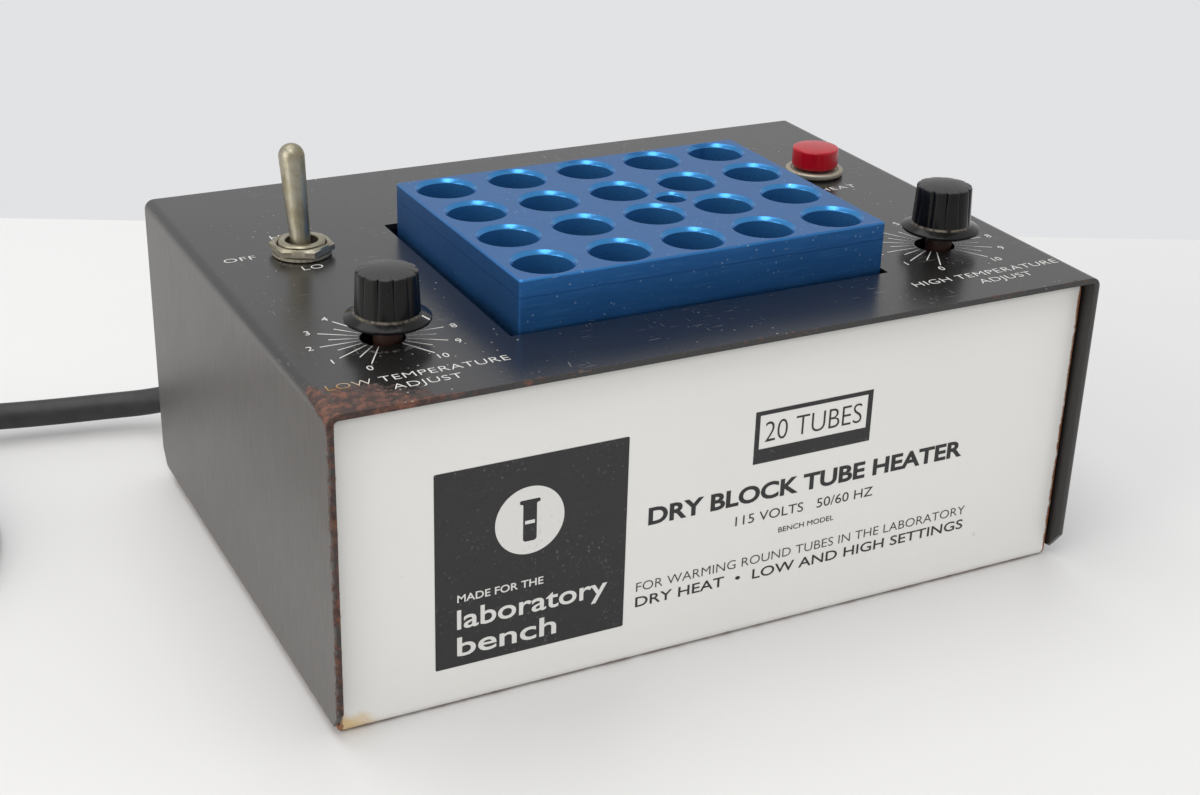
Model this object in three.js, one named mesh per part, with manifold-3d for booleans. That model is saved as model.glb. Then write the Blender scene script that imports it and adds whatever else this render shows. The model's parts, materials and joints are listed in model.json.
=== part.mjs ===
// A dry block heater for a laboratory bench: a folded steel case with a drilled aluminium block
// that heats test tubes, two thermostat knobs, a three-position toggle switch and a pilot lamp.
// Millimetres, +Z up, +X to the right along the front. The front faces -Y.
// The origin is on the bench, under the middle of the case.
import * as THREE from "three";
import { mergeVertices } from "three/addons/utils/BufferGeometryUtils.js";
import Module from "manifold-3d";

const wasm = await Module();
wasm.setup();

// ---------------------------------------------------------------- driving dimensions

const CASE_WIDTH = 203.2;
const CASE_DEPTH = 146;
const CASE_HEIGHT = 81.6;
const COVER_SHEET = 1.5;
const PAN_SHEET = 1.2;
const BEND_RADIUS = 2.6; // outside of every fold in the cover and the pan
const CORNER_CLIP = 4; // bottom corners of the cover's sides
const PANEL_RECESS = 4; // front and back panels behind the cover's edges
const COVER_FLANGE = 13; // turned in under the cover's sides
const PAN_FLANGE = 10; // turned in at the top of the front and back panels
const TOUCH = 0.3; // gap kept between pieces that rest on each other
const PAN_PLAY = 0.6; // pan inside the cover, at the sides and the top
const HOLE_PLAY = 0.4; // radial play of a screw in its hole

const BLOCK_WIDTH = 100;
const BLOCK_DEPTH = 74.6;
const BLOCK_HEIGHT = 50.8;
const BLOCK_PROUD = 12.8; // top of the block above the cover
const BLOCK_X = 2.4;
const BLOCK_Y = -11;
const BLOCK_TURN = 0.6; // degrees: it sits a little askew in its well
const BLOCK_EDGE_X = 10.2; // outer tube holes from the block's sides
const BLOCK_EDGE_Y = 8.95;
const BLOCK_CHAMFER = 0.6;
const TUBE_BORE = 14.2;
const TUBE_FLARE = 0.9; // countersink at each tube hole's rim
const TUBE_RIM = TUBE_BORE + 2 * TUBE_FLARE;
const TUBE_LAND = 2.5; // least metal between two rims
const TUBE_DEPTH = 45;
const THERMOMETER_BORE = 7.3;
const THERMOMETER_FLARE = 0.7;

// Gaps between the block and the edges of the cover's opening.
const OPENING_LEFT = 2;
const OPENING_RIGHT = 1.2;
const OPENING_FRONT = 1.2;
const OPENING_BACK = 4.2;

const WELL_PLAY = 1; // block to well wall
const WELL_WALL = 3;
const WELL_FLOOR = 6;
const WELL_DROP = 3.2; // rim of the well below the cover
const EAR_THICKNESS = 4;
const EAR_DROP = 20; // top of the thermostat ears below the cover's underside
const EAR_DEPTH = 24;
const HEATER_THICKNESS = 3;
const HEATER_MARGIN = 6; // heater inside the well's outline
const HEATER_TAB_WIDTH = 6.4;
const HEATER_TAB_SHEET = 0.8;
const CLAMP_SHEET = 1.6;
const INSULATION_THICKNESS = 12;
const INSULATION_MARGIN = 2;
const BRACKET_SHEET = 1.5;
const BRACKET_WIDTH = 28;
const BRACKET_FOOT = 14;
const BRACKET_RISE = 12; // upright above the well's underside

const DIAL_INSET = 25.3; // dial centres from the case's sides
const LOW_DIAL_Y = -38.7;
const HIGH_DIAL_Y = -37.6;
const SHAFT_OFFSET = 1.3; // both thermostats sit a little to the right of their dials
const SHAFT_DIAMETER = 6.8;
const SHAFT_HOLE = SHAFT_DIAMETER + 3.6; // clears a shaft that is off its dial's centre
const SHAFT_SPIGOT = 5;
const SHAFT_INSERTION = 5; // spigot below the ear's underside
const KNOB_BORE_DEPTH = 9;
const SET_SCREW = 3.2;
const KNOB_SKIRT_DIAMETER = 20;
const KNOB_BASE_DIAMETER = 15;
const KNOB_TOP_DIAMETER = 14.1;
const KNOB_CLEAR = 4.1; // skirt above the cover
const KNOB_SKIRT_HEIGHT = 1.9;
const KNOB_SKIRT_EDGE = 0.6;
const KNOB_SIDES = 32;
const KNOB_BODY_HEIGHT = 10;
const KNOB_DOME = 0.8;
const LOW_SETTING_ANGLE = -38.5; // degrees from +X, where each knob's index line points
const HIGH_SETTING_ANGLE = 60;
const THERMOSTAT_WIDTH = 27;
const THERMOSTAT_DEPTH = 23;
const THERMOSTAT_HEIGHT = 17;
const THERMOSTAT_BUSHING = 9.5;
const THERMOSTAT_NUT_FLATS = 12.7;
const THERMOSTAT_NUT_HEIGHT = 2.4;
const THERMOSTAT_BUSHING_RISE = 6; // above the ear

const SWITCH_INSET_X = 25.8; // from the left side
const SWITCH_Y = 18.8;
const SWITCH_WIDTH = 17.5;
const SWITCH_LENGTH = 28;
const SWITCH_BODY_HEIGHT = 18;
const SWITCH_BUSHING = 11.9;
const SWITCH_BORE = 8.2;
const SWITCH_NUT_WALL = 1.2;
const SWITCH_NUT_FLATS = SWITCH_BUSHING + 2 * SWITCH_NUT_WALL;
const SWITCH_NUT_HEIGHT = 2;
const SWITCH_WASHER = 0.7;
const LEVER_LENGTH = 25.5; // pivot to the middle of the round tip
const LEVER_BASE_DIAMETER = 5;
const LEVER_TIP_DIAMETER = 6.5;
const LEVER_LEAN = 12; // degrees, towards the back
const LEVER_PIVOT_DROP = 1.2; // pivot below the cover's top
const LEVER_BALL_RADIUS = 3; // below the pivot
const LEVER_COLLAR = 0.4; // the lever's foot is this much stouter than its neck
const SWITCH_TAB = 7;
const SWITCH_TAB_PITCH = 8;
const SWITCH_TAB_WIDTH = 4.8;
const SWITCH_TAB_SHEET = 0.8;

const LAMP_INSET_X = 22.4; // from the right side
const LAMP_Y = 24.6;
const LAMP_BARREL_DIAMETER = 12.6;
const LAMP_LENS_DIAMETER = LAMP_BARREL_DIAMETER + 0.5;
const LAMP_LENS_HEIGHT = 5.8;
const LAMP_BEZEL_DIAMETER = LAMP_BARREL_DIAMETER + 3.8;
const LAMP_BEZEL_HEIGHT = 1.8;
const LAMP_BARREL_LENGTH = 24;
const LAMP_EDGE = 0.6; // chamfers on the bezel and the lens
const LAMP_CLIP_SHEET = 1.2;

const SCREW_SHANK = 3.5;
const SCREW_HEAD = 6.8;
const SCREW_HEAD_RIM = 1.8; // height of a pan head's edge
const SCREW_HEAD_HEIGHT = 2.3;
const SCREW_HEAD_DRAFT = 0.4;
const SCREW_RECESS = 0.1; // flat heads below the surface they are let into
const SCREW_PAST = 3; // a cover screw past the flange it is driven into
const STRIP_SCREW_LENGTH = 5;
const STRIP_LENGTH = 40;
const STRIP_DEPTH = 16;
const STRIP_HEIGHT = 10;
const STRIP_X = -20;
const STRIP_PITCH = 11.8;
const STRIP_GAP = 8; // from the back panel

const CORD_DIAMETER = 7.7;
const CORD_SIDES = 10;
const CORD_INSET = 25.1; // hole in the back panel from the case's left side
const RELIEF_DIAMETER = 12;
const RELIEF_FLANGE = 17;
const RELIEF_BOOT = 10.4;
const RELIEF_FLANGE_THICKNESS = 2.5;
const RELIEF_COLLAR = 4; // length of the part that grips the panel's inside
const COIL_X = -132.5; // coil's middle from the hole in the back panel
const COIL_Y = -9;
const COIL_MEAN_RADIUS = 46.2; // middle of the turns
const COIL_TURNS_WIDE = 3;
const COIL_LAYERS = 2;
const COIL_ROUND = 2;
const COIL_SIDES = 36;
const COIL_CROSSING = 3.4; // where the inner turn steps down a layer it runs this much inside
const PLUG_WIDTH = 27;
const PLUG_HEIGHT = 25;
const PLUG_LENGTH = 32;
const PLUG_NOSE = 22; // tapered end that the cord goes into
const PLUG_NOSE_DIAMETER = 18;
const PLUG_CORNER = 4;
const BLADE_PITCH = 12.7;
const BLADE_LENGTH = 16;
const BLADE_SECTION = [1.5, 6.3];
const BLADE_ROOT = 6; // held inside the plug
const BLADE_RISE = 4.5; // blades above the plug's axis
const PIN_DIAMETER = 4.8;
const PIN_DROP = 11.9; // ground pin below the blades
const PIN_EXTRA = 3; // ground pin past the blades
const LEAD_DIAMETER = 2.4;
const LEAD_SIDES = 6;
const LEAD_GAP = 1; // between a lead's end and its terminal
const GROUND_INSET_X = 43.6; // ground screw from the case's left side
const GROUND_INSET_Y = 17; // and from the back panel
const CLAMP_BOLT = 5;
const CLAMP_HEAD_HEIGHT = 3;
const CLAMP_FLOOR = 2; // metal of the well left above the clamp bolt's hole
const WELL_SCREW_DEPTH = 8;
const HEATER_TAB_OFFSET = 12; // tabs from the middle of the block
const HEATER_TAB_REACH = 6; // tabs past the well's back wall
const SIDES = 24; // round pieces
const FEW_SIDES = 12; // screws, rivets and small holes
const CUT = 1; // how far a cutting tool reaches past the surface it cuts

// The cord's points are measured from the bench under the hole in the back panel that it leaves by.
// The strain relief covers the first points of its route to the coil.
const CORD_ROUTE = [
  [0, -2, 17],
  [0, 4, 17],
  [-1.1, 12, 16.2],
  [-4.2, 19.5, 14.6],
  [-9.1, 25.9, 12.4],
  [-15.5, 30.8, 10.1],
  [-23, 34.1, 8.6],
  [-33.5, 37.2, 7.9],
  [-48.5, 40.2, 7.6],
  [-63.5, 42.6, 7.9],
  [-78.5, 44.1, 9.1],
  [-91.5, 44.8, 10.6],
  [-102.5, 44.9, 11.5],
];
const RELIEF_POINTS = 5;
const TAIL_ROUTE = [
  [-186.4, -39.6, 3.95],
  [-186.4, -49, 4.3],
  [-186.4, -59, 6.4],
  [-186.4, -69, 10],
  [-186.4, -77, 12.4],
  [-186.4, -84, 12.8],
];

// ---------------------------------------------------------------- derived places

const DEGREE = Math.PI / 180;
const TOP = CASE_HEIGHT;
const COVER_UNDER = TOP - COVER_SHEET;
const COVER_BOTTOM = PAN_SHEET + TOUCH;
const CASE_RIGHT = CASE_WIDTH / 2;
const CASE_BACK = CASE_DEPTH / 2;
const PANEL_BACK = CASE_BACK - PANEL_RECESS;
const BLOCK_TOP = TOP + BLOCK_PROUD;
const BLOCK_BOTTOM = BLOCK_TOP - BLOCK_HEIGHT;
const WELL_INNER_WIDTH = BLOCK_WIDTH + 2 * WELL_PLAY;
const WELL_INNER_DEPTH = BLOCK_DEPTH + 2 * WELL_PLAY;
const WELL_WIDTH = WELL_INNER_WIDTH + 2 * WELL_WALL;
const WELL_DEPTH = WELL_INNER_DEPTH + 2 * WELL_WALL;
const WELL_BASE = BLOCK_BOTTOM - TOUCH - WELL_FLOOR;
const WELL_TOP = COVER_UNDER - WELL_DROP;
const EAR_TOP = COVER_UNDER - EAR_DROP;
const LOW_DIAL_X = DIAL_INSET - CASE_RIGHT;
const HIGH_DIAL_X = CASE_RIGHT - DIAL_INSET;
const SWITCH_X = SWITCH_INSET_X - CASE_RIGHT;
const LAMP_X = CASE_RIGHT - LAMP_INSET_X;
const HEATER_TOP = WELL_BASE - TOUCH;
const CLAMP_TOP = HEATER_TOP - HEATER_THICKNESS - TOUCH;
const INSULATION_TOP = CLAMP_TOP - CLAMP_SHEET - TOUCH;
const INSULATION_BOTTOM = INSULATION_TOP - INSULATION_THICKNESS;
const FOOT_Z = PAN_SHEET + TOUCH; // underside of what stands on the pan
const PITCH_MIN = TUBE_RIM + TUBE_LAND;
const TUBE_SPAN_X = BLOCK_WIDTH - 2 * BLOCK_EDGE_X;
const TUBE_SPAN_Y = BLOCK_DEPTH - 2 * BLOCK_EDGE_Y;
const COLUMNS = Math.floor(TUBE_SPAN_X / PITCH_MIN) + 1;
const ROWS = Math.floor(TUBE_SPAN_Y / PITCH_MIN) + 1;
const PITCH_X = TUBE_SPAN_X / (COLUMNS - 1);
const PITCH_Y = TUBE_SPAN_Y / (ROWS - 1);
const COVER_SCREW_X = CASE_RIGHT - COVER_SHEET - COVER_FLANGE / 2 - 1;
const COVER_SCREW_Y = CASE_BACK - 25;
const STRIP_Y = PANEL_BACK - PAN_SHEET - STRIP_GAP - STRIP_DEPTH / 2;
const TAB_X = [BLOCK_X - HEATER_TAB_OFFSET, BLOCK_X + HEATER_TAB_OFFSET];
const TAB_END = BLOCK_Y + WELL_DEPTH / 2 + HEATER_TAB_REACH;
const WELL_LEFT = BLOCK_X - WELL_WIDTH / 2;
const WELL_RIGHT = BLOCK_X + WELL_WIDTH / 2;
const FOOT_TOP = FOOT_Z + BRACKET_SHEET;
const WELL_SCREW_Z = WELL_BASE + WELL_FLOOR / 2;
const SET_SCREW_HEIGHT = KNOB_SKIRT_HEIGHT + 3;
const SWITCH_TOP = COVER_UNDER - TOUCH - TOP; // top of the switch body below the cover's top
const NUT_LOW = 2 * TOUCH + SWITCH_WASHER;
const SWITCH_BUSHING_TOP = NUT_LOW + SWITCH_NUT_HEIGHT + 0.5;
const STRIP_TOP = FOOT_Z + STRIP_HEIGHT;
const GROUND_X = GROUND_INSET_X - CASE_RIGHT;
const GROUND_Y = PANEL_BACK - GROUND_INSET_Y;
const CORD_EXIT_X = CORD_INSET - CASE_RIGHT;
const CORD_EXIT_Z = CORD_ROUTE[0][2];
const [PLUG_X, TAIL_END_Y, PLUG_AXIS_Z] = TAIL_ROUTE[TAIL_ROUTE.length - 1];
const PLUG_BACK = TAIL_END_Y - 2 * TOUCH;
const PLUG_FACE = PLUG_BACK - PLUG_NOSE - PLUG_LENGTH;
const BLADE_Z = PLUG_AXIS_Z + BLADE_RISE;
const PIN_Z = BLADE_Z - PIN_DROP;

// ---------------------------------------------------------------- finishes

const finish = (color, roughness, metalness) =>
  new THREE.MeshStandardMaterial({ color, roughness, metalness });
const FINISH = {
  black_paint: () => finish(0x2c2a29, 0.5, 0.1),
  white_enamel: () => finish(0xe6e3dc, 0.35, 0),
  blue_anodised: () => finish(0x1f5fa8, 0.35, 0.85),
  nickel: () => finish(0xa39a86, 0.35, 0.9),
  zinc: () => finish(0xa9a9a4, 0.45, 0.8),
  aluminium: () => finish(0xa8a9ab, 0.5, 0.8),
  brass: () => finish(0xb0904a, 0.4, 0.9),
  black_phenolic: () => finish(0x141312, 0.25, 0),
  brown_phenolic: () => finish(0x4b2a20, 0.5, 0),
  red_lens: () => finish(0xa01420, 0.25, 0),
  mica: () => finish(0xb9a27a, 0.6, 0),
  insulation: () => finish(0xd9d3c2, 0.95, 0),
  black_rubber: () => finish(0x1d1d1f, 0.55, 0),
  lead_black: () => finish(0x202022, 0.6, 0),
  lead_white: () => finish(0xdeddd8, 0.6, 0),
  lead_green: () => finish(0x2f7a44, 0.6, 0),
  lead_red: () => finish(0xa3322a, 0.6, 0),
};

// ---------------------------------------------------------------- geometry helpers

const heater = new THREE.Group();

function addPiece(name, geometry, look, parent = heater) {
  const mesh = new THREE.Mesh(geometry, FINISH[look]());
  mesh.name = name;
  parent.add(mesh);
  return mesh;
}

function groupAt(x, y, z, parent = heater) {
  const group = new THREE.Group();
  group.position.set(x, y, z);
  parent.add(group);
  return group;
}

function solidOf(geometry) {
  const bare = geometry.index ? geometry.toNonIndexed() : geometry.clone();
  bare.deleteAttribute("normal");
  bare.deleteAttribute("uv");
  const merged = mergeVertices(bare, 1e-3);
  const mesh = new wasm.Mesh({
    numProp: 3,
    vertProperties: merged.attributes.position.array,
    triVerts: new Uint32Array(merged.index.array),
  });
  return new wasm.Manifold(mesh);
}

function geometryOf(solid) {
  const mesh = solid.getMesh();
  const geometry = new THREE.BufferGeometry();
  geometry.setAttribute("position", new THREE.BufferAttribute(mesh.vertProperties, 3));
  geometry.setIndex(new THREE.BufferAttribute(mesh.triVerts, 1));
  geometry.computeVertexNormals();
  return geometry;
}

function cut(base, tools) {
  return geometryOf(tools.reduce((solid, tool) => solid.subtract(solidOf(tool)), solidOf(base)));
}

function join(pieces) {
  const [first, ...rest] = pieces;
  return geometryOf(rest.reduce((solid, piece) => solid.add(solidOf(piece)), solidOf(first)));
}

// A box between two corners.
function block(low, high) {
  const size = high.map((value, i) => value - low[i]);
  const middle = high.map((value, i) => (value + low[i]) / 2);
  return new THREE.BoxGeometry(...size).translate(...middle);
}

// A round bar or cone standing on z = low, with its axis at x, y.
function post(x, y, low, high, radius, topRadius = radius, sides = SIDES) {
  const geometry = new THREE.CylinderGeometry(topRadius, radius, high - low, sides);
  return geometry.rotateX(90 * DEGREE).translate(x, y, (low + high) / 2);
}

// A round bar along X, from x = low to x = high.
function barX(y, z, low, high, radius, sides = FEW_SIDES) {
  const geometry = new THREE.CylinderGeometry(radius, radius, high - low, sides);
  return geometry.rotateZ(90 * DEGREE).translate((low + high) / 2, y, z);
}

// A round bar or cone along Y; radius at the low end, farRadius at the high end.
function barY(x, z, low, high, radius, farRadius = radius, sides = SIDES) {
  const geometry = new THREE.CylinderGeometry(farRadius, radius, high - low, sides);
  return geometry.translate(x, (low + high) / 2, z);
}

// A clearance hole for a screw or rivet, along Z.
function screwHole(x, y, low, high) {
  const radius = SCREW_SHANK / 2 + HOLE_PLAY;
  return post(x, y, low, high, radius, radius, FEW_SIDES);
}

// A hexagonal nut blank standing on z = low, flats facing along X.
function hexPost(x, y, low, high, flats) {
  const radius = flats / 2 / Math.cos(30 * DEGREE);
  return post(x, y, low, high, radius, radius, 6);
}

// A solid of revolution about +Z; each profile point is [radius, z], from the axis to the axis.
function turned(profile, sides = SIDES) {
  const points = profile.map(([radius, z]) => new THREE.Vector2(radius, z));
  return new THREE.LatheGeometry(points, sides).rotateX(90 * DEGREE);
}

// A flat outline in X and Y, pushed up from z = low to z = high.
function slab(outline, low, high) {
  const shape = new THREE.Shape(outline.map(([x, y]) => new THREE.Vector2(x, y)));
  const depth = high - low;
  return new THREE.ExtrudeGeometry(shape, { depth, bevelEnabled: false }).translate(0, 0, low);
}

// The same, for an outline in X and Z carried along Y.
function slabAlongY(outline, low, high) {
  const shape = new THREE.Shape(outline.map(([x, z]) => new THREE.Vector2(x, z)));
  const depth = high - low;
  const geometry = new THREE.ExtrudeGeometry(shape, { depth, bevelEnabled: false });
  return geometry.rotateX(90 * DEGREE).translate(0, high, 0);
}

// The same, for an outline in Y and Z carried along X.
function slabAlongX(outline, low, high) {
  const shape = new THREE.Shape(outline.map(([y, z]) => new THREE.Vector2(y, z)));
  const depth = high - low;
  const geometry = new THREE.ExtrudeGeometry(shape, { depth, bevelEnabled: false });
  return geometry.rotateX(90 * DEGREE).rotateZ(90 * DEGREE).translate(low, 0, 0);
}

// Points of a polyline whose inner corners are arcs; radiusAt gives a corner's radius from its turn.
function rounded(corners, radiusAt, steps = 4) {
  const points = [corners[0]];
  for (let i = 1; i < corners.length - 1; i += 1) {
    const here = new THREE.Vector2(...corners[i]);
    const back = new THREE.Vector2(...corners[i - 1]).sub(here).normalize();
    const ahead = new THREE.Vector2(...corners[i + 1]).sub(here).normalize();
    const half = Math.acos(back.dot(ahead)) / 2;
    const radius = radiusAt(ahead.cross(back));
    const toCentre = back.clone().add(ahead).setLength(radius / Math.sin(half));
    const spoke = back.clone().multiplyScalar(radius / Math.tan(half)).sub(toCentre);
    const sweep = (Math.PI - 2 * half) * Math.sign(ahead.cross(back));
    const centre = here.clone().add(toCentre);
    for (let k = 0; k <= steps; k += 1) {
      const point = spoke.clone().rotateAround(new THREE.Vector2(), (sweep * k) / steps).add(centre);
      points.push([point.x, point.y]);
    }
  }
  points.push(corners[corners.length - 1]);
  return points;
}

// The closed section of a folded sheet that lies to the left of the line through its corners.
function foldedSheet(corners, sheet, radius) {
  const inner = corners.map((corner, i) => {
    const here = new THREE.Vector2(...corner);
    const legs = [corners[i - 1], corners[i + 1]];
    const directions = [];
    if (legs[0]) directions.push(here.clone().sub(new THREE.Vector2(...legs[0])).normalize());
    if (legs[1]) directions.push(new THREE.Vector2(...legs[1]).sub(here).normalize());
    const normals = directions.map((d) => new THREE.Vector2(-d.y, d.x));
    const shift = normals.reduce((sum, n) => sum.add(n), new THREE.Vector2());
    shift.multiplyScalar(sheet / shift.dot(normals[0]));
    return [here.x + shift.x, here.y + shift.y];
  });
  const tight = Math.max(radius - sheet, 0.3);
  const near = rounded(corners, (turn) => (turn > 0 ? radius : tight));
  const far = rounded(inner, (turn) => (turn > 0 ? tight : radius));
  return [...near, ...far.reverse()];
}

// A tube along a curve; its ends are flat.
function tubeAlong(curve, diameter, sides, steps) {
  const section = new THREE.Shape();
  for (let i = 0; i < sides; i += 1) {
    const angle = (2 * Math.PI * i) / sides;
    const x = (diameter / 2) * Math.cos(angle);
    const y = (diameter / 2) * Math.sin(angle);
    if (i === 0) section.moveTo(x, y);
    else section.lineTo(x, y);
  }
  section.closePath();
  return new THREE.ExtrudeGeometry(section, { steps, extrudePath: curve, bevelEnabled: false });
}

function curveThrough(points) {
  const vectors = points.map((point) => new THREE.Vector3(...point));
  return new THREE.CatmullRomCurve3(vectors, false, "centripetal");
}

// ---------------------------------------------------------------- case

const screwPlaces = {
  front_left: [-COVER_SCREW_X, -COVER_SCREW_Y],
  front_right: [COVER_SCREW_X, -COVER_SCREW_Y],
  back_left: [-COVER_SCREW_X, COVER_SCREW_Y],
  back_right: [COVER_SCREW_X, COVER_SCREW_Y],
};

// Top and two sides folded from one sheet, with flanges turned in under the sides.
function coverGeometry() {
  const right = CASE_RIGHT;
  const flangeEnd = right - COVER_FLANGE;
  const corners = [
    [flangeEnd, COVER_BOTTOM],
    [right, COVER_BOTTOM],
    [right, TOP],
    [-right, TOP],
    [-right, COVER_BOTTOM],
    [-flangeEnd, COVER_BOTTOM],
  ];
  const section = foldedSheet(corners, COVER_SHEET, BEND_RADIUS);
  const blank = slabAlongY(section, -CASE_BACK, CASE_BACK);
  const tools = [];
  const far = right + CUT;
  const flangeBack = PANEL_BACK - PAN_SHEET - BEND_RADIUS;
  for (const side of [-1, 1]) {
    // Clipped bottom corners of both sides, and flanges that stop short of the panels.
    const corner = side * (CASE_BACK + 1);
    const clip = CORNER_CLIP + 1;
    const foot = [corner, COVER_BOTTOM - 1];
    const along = [corner - side * (clip + 1), COVER_BOTTOM - 1];
    const above = [corner, COVER_BOTTOM + clip];
    tools.push(slabAlongX(side > 0 ? [foot, above, along] : [foot, along, above], -far, far));
    const inside = right - COVER_SHEET;
    const ends = [side * flangeBack, side * (CASE_BACK + 1)].sort((a, b) => a - b);
    tools.push(block([-inside, ends[0], COVER_BOTTOM - 1], [inside, ends[1], COVER_BOTTOM + BEND_RADIUS]));
  }
  const low = COVER_UNDER - CUT;
  const high = TOP + CUT;
  tools.push(
    block(
      [BLOCK_X - BLOCK_WIDTH / 2 - OPENING_LEFT, BLOCK_Y - BLOCK_DEPTH / 2 - OPENING_FRONT, low],
      [BLOCK_X + BLOCK_WIDTH / 2 + OPENING_RIGHT, BLOCK_Y + BLOCK_DEPTH / 2 + OPENING_BACK, high],
    ),
    post(LOW_DIAL_X, LOW_DIAL_Y, low, high, SHAFT_HOLE / 2),
    post(HIGH_DIAL_X, HIGH_DIAL_Y, low, high, SHAFT_HOLE / 2),
    post(SWITCH_X, SWITCH_Y, low, high, SWITCH_BUSHING / 2 + TOUCH),
    post(LAMP_X, LAMP_Y, low, high, LAMP_BARREL_DIAMETER / 2 + TOUCH),
  );
  for (const [x, y] of Object.values(screwPlaces)) {
    tools.push(screwHole(x, y, COVER_BOTTOM - 1, COVER_BOTTOM + COVER_SHEET + 1));
  }
  return cut(blank, tools);
}

// Bottom, front and back panels folded from one sheet, with flanges turned in at the top.
function panGeometry() {
  const halfWidth = CASE_RIGHT - COVER_SHEET - PAN_PLAY;
  const top = COVER_UNDER - PAN_PLAY;
  const section = foldedSheet(
    [
      [-PANEL_BACK + PAN_FLANGE, top],
      [-PANEL_BACK, top],
      [-PANEL_BACK, 0],
      [PANEL_BACK, 0],
      [PANEL_BACK, top],
      [PANEL_BACK - PAN_FLANGE, top],
    ],
    PAN_SHEET,
    BEND_RADIUS,
  );
  const tools = [
    barY(CORD_EXIT_X, CORD_EXIT_Z, PANEL_BACK - PAN_SHEET - 1, PANEL_BACK + 1, RELIEF_DIAMETER / 2 + TOUCH),
    screwHole(GROUND_X, GROUND_Y, -1, PAN_SHEET + 1),
  ];
  const play = TOUCH / 2;
  for (const [x, y] of Object.values(screwPlaces)) {
    const narrow = SCREW_SHANK / 2 + HOLE_PLAY;
    tools.push(post(x, y, -0.01, PAN_SHEET + 0.01, SCREW_HEAD / 2 + play, narrow, FEW_SIDES));
  }
  for (const [x, y] of Object.values(rivetPlaces)) {
    tools.push(screwHole(x, y, -1, PAN_SHEET + 1));
  }
  return cut(slabAlongX(section, -halfWidth, halfWidth), tools);
}

// A flat-head screw that comes up through the pan into the cover's flange.
function coverScrewGeometry() {
  const shank = SCREW_SHANK / 2;
  const seat = PAN_SHEET + SCREW_RECESS;
  const end = COVER_BOTTOM + COVER_SHEET + SCREW_PAST;
  const profile = [
    [0, SCREW_RECESS],
    [SCREW_HEAD / 2 - TOUCH, SCREW_RECESS],
    [shank, seat],
    [shank, end],
    [0, end],
  ];
  return turned(profile, FEW_SIDES);
}

// ---------------------------------------------------------------- well and heater

const rivetPlaces = {};
for (const [name, x] of Object.entries({
  left: WELL_LEFT - TOUCH - BRACKET_FOOT / 2 - 1,
  right: WELL_RIGHT + TOUCH + BRACKET_FOOT / 2 + 1,
})) {
  rivetPlaces[`${name}_front`] = [x, BLOCK_Y - BRACKET_WIDTH / 3];
  rivetPlaces[`${name}_back`] = [x, BLOCK_Y + BRACKET_WIDTH / 3];
}
const wellScrewPlaces = {
  left_front: [-1, BLOCK_Y - BRACKET_WIDTH / 3],
  left_back: [-1, BLOCK_Y + BRACKET_WIDTH / 3],
  right_front: [1, BLOCK_Y - BRACKET_WIDTH / 3],
  right_back: [1, BLOCK_Y + BRACKET_WIDTH / 3],
};

const shafts = {
  low: { x: LOW_DIAL_X + SHAFT_OFFSET, y: LOW_DIAL_Y, side: -1 },
  high: { x: HIGH_DIAL_X + SHAFT_OFFSET, y: HIGH_DIAL_Y, side: 1 },
};

// A cast tray that the block drops into, with an ear on each side for a thermostat.
function wellGeometry() {
  const outline = [
    [WELL_LEFT, BLOCK_Y - WELL_DEPTH / 2, WELL_BASE],
    [WELL_RIGHT, BLOCK_Y + WELL_DEPTH / 2, WELL_TOP],
  ];
  const ears = Object.values(shafts).map(({ x, y, side }) => {
    const end = x + (side * THERMOSTAT_WIDTH) / 2;
    const root = side < 0 ? WELL_LEFT + WELL_WALL / 2 : WELL_RIGHT - WELL_WALL / 2;
    const low = [Math.min(end, root), y - EAR_DEPTH / 2, EAR_TOP - EAR_THICKNESS];
    return block(low, [Math.max(end, root), y + EAR_DEPTH / 2, EAR_TOP]);
  });
  const tools = [
    block(
      [BLOCK_X - WELL_INNER_WIDTH / 2, BLOCK_Y - WELL_INNER_DEPTH / 2, WELL_BASE + WELL_FLOOR],
      [BLOCK_X + WELL_INNER_WIDTH / 2, BLOCK_Y + WELL_INNER_DEPTH / 2, WELL_TOP + 1],
    ),
    post(BLOCK_X, BLOCK_Y, WELL_BASE - 1, WELL_BASE + WELL_FLOOR - CLAMP_FLOOR, CLAMP_BOLT / 2 + HOLE_PLAY),
  ];
  for (const { x, y } of Object.values(shafts)) {
    tools.push(post(x, y, EAR_TOP - EAR_THICKNESS - 1, EAR_TOP + 1, THERMOSTAT_BUSHING / 2 + TOUCH));
  }
  for (const [side, y] of Object.values(wellScrewPlaces)) {
    const face = side < 0 ? WELL_LEFT : WELL_RIGHT;
    const ends = [face + side, face - side * (WELL_SCREW_DEPTH + 1)].sort((a, b) => a - b);
    tools.push(barX(y, WELL_SCREW_Z, ends[0], ends[1], SCREW_SHANK / 2 + HOLE_PLAY));
  }
  return cut(join([block(...outline), ...ears]), tools);
}

function plateUnderWell(margin, low, high, hole) {
  const x = WELL_WIDTH / 2 - margin;
  const y = WELL_DEPTH / 2 - margin;
  const plate = block([BLOCK_X - x, BLOCK_Y - y, low], [BLOCK_X + x, BLOCK_Y + y, high]);
  return cut(plate, [post(BLOCK_X, BLOCK_Y, low - 1, high + 1, hole / 2)]);
}

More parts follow.
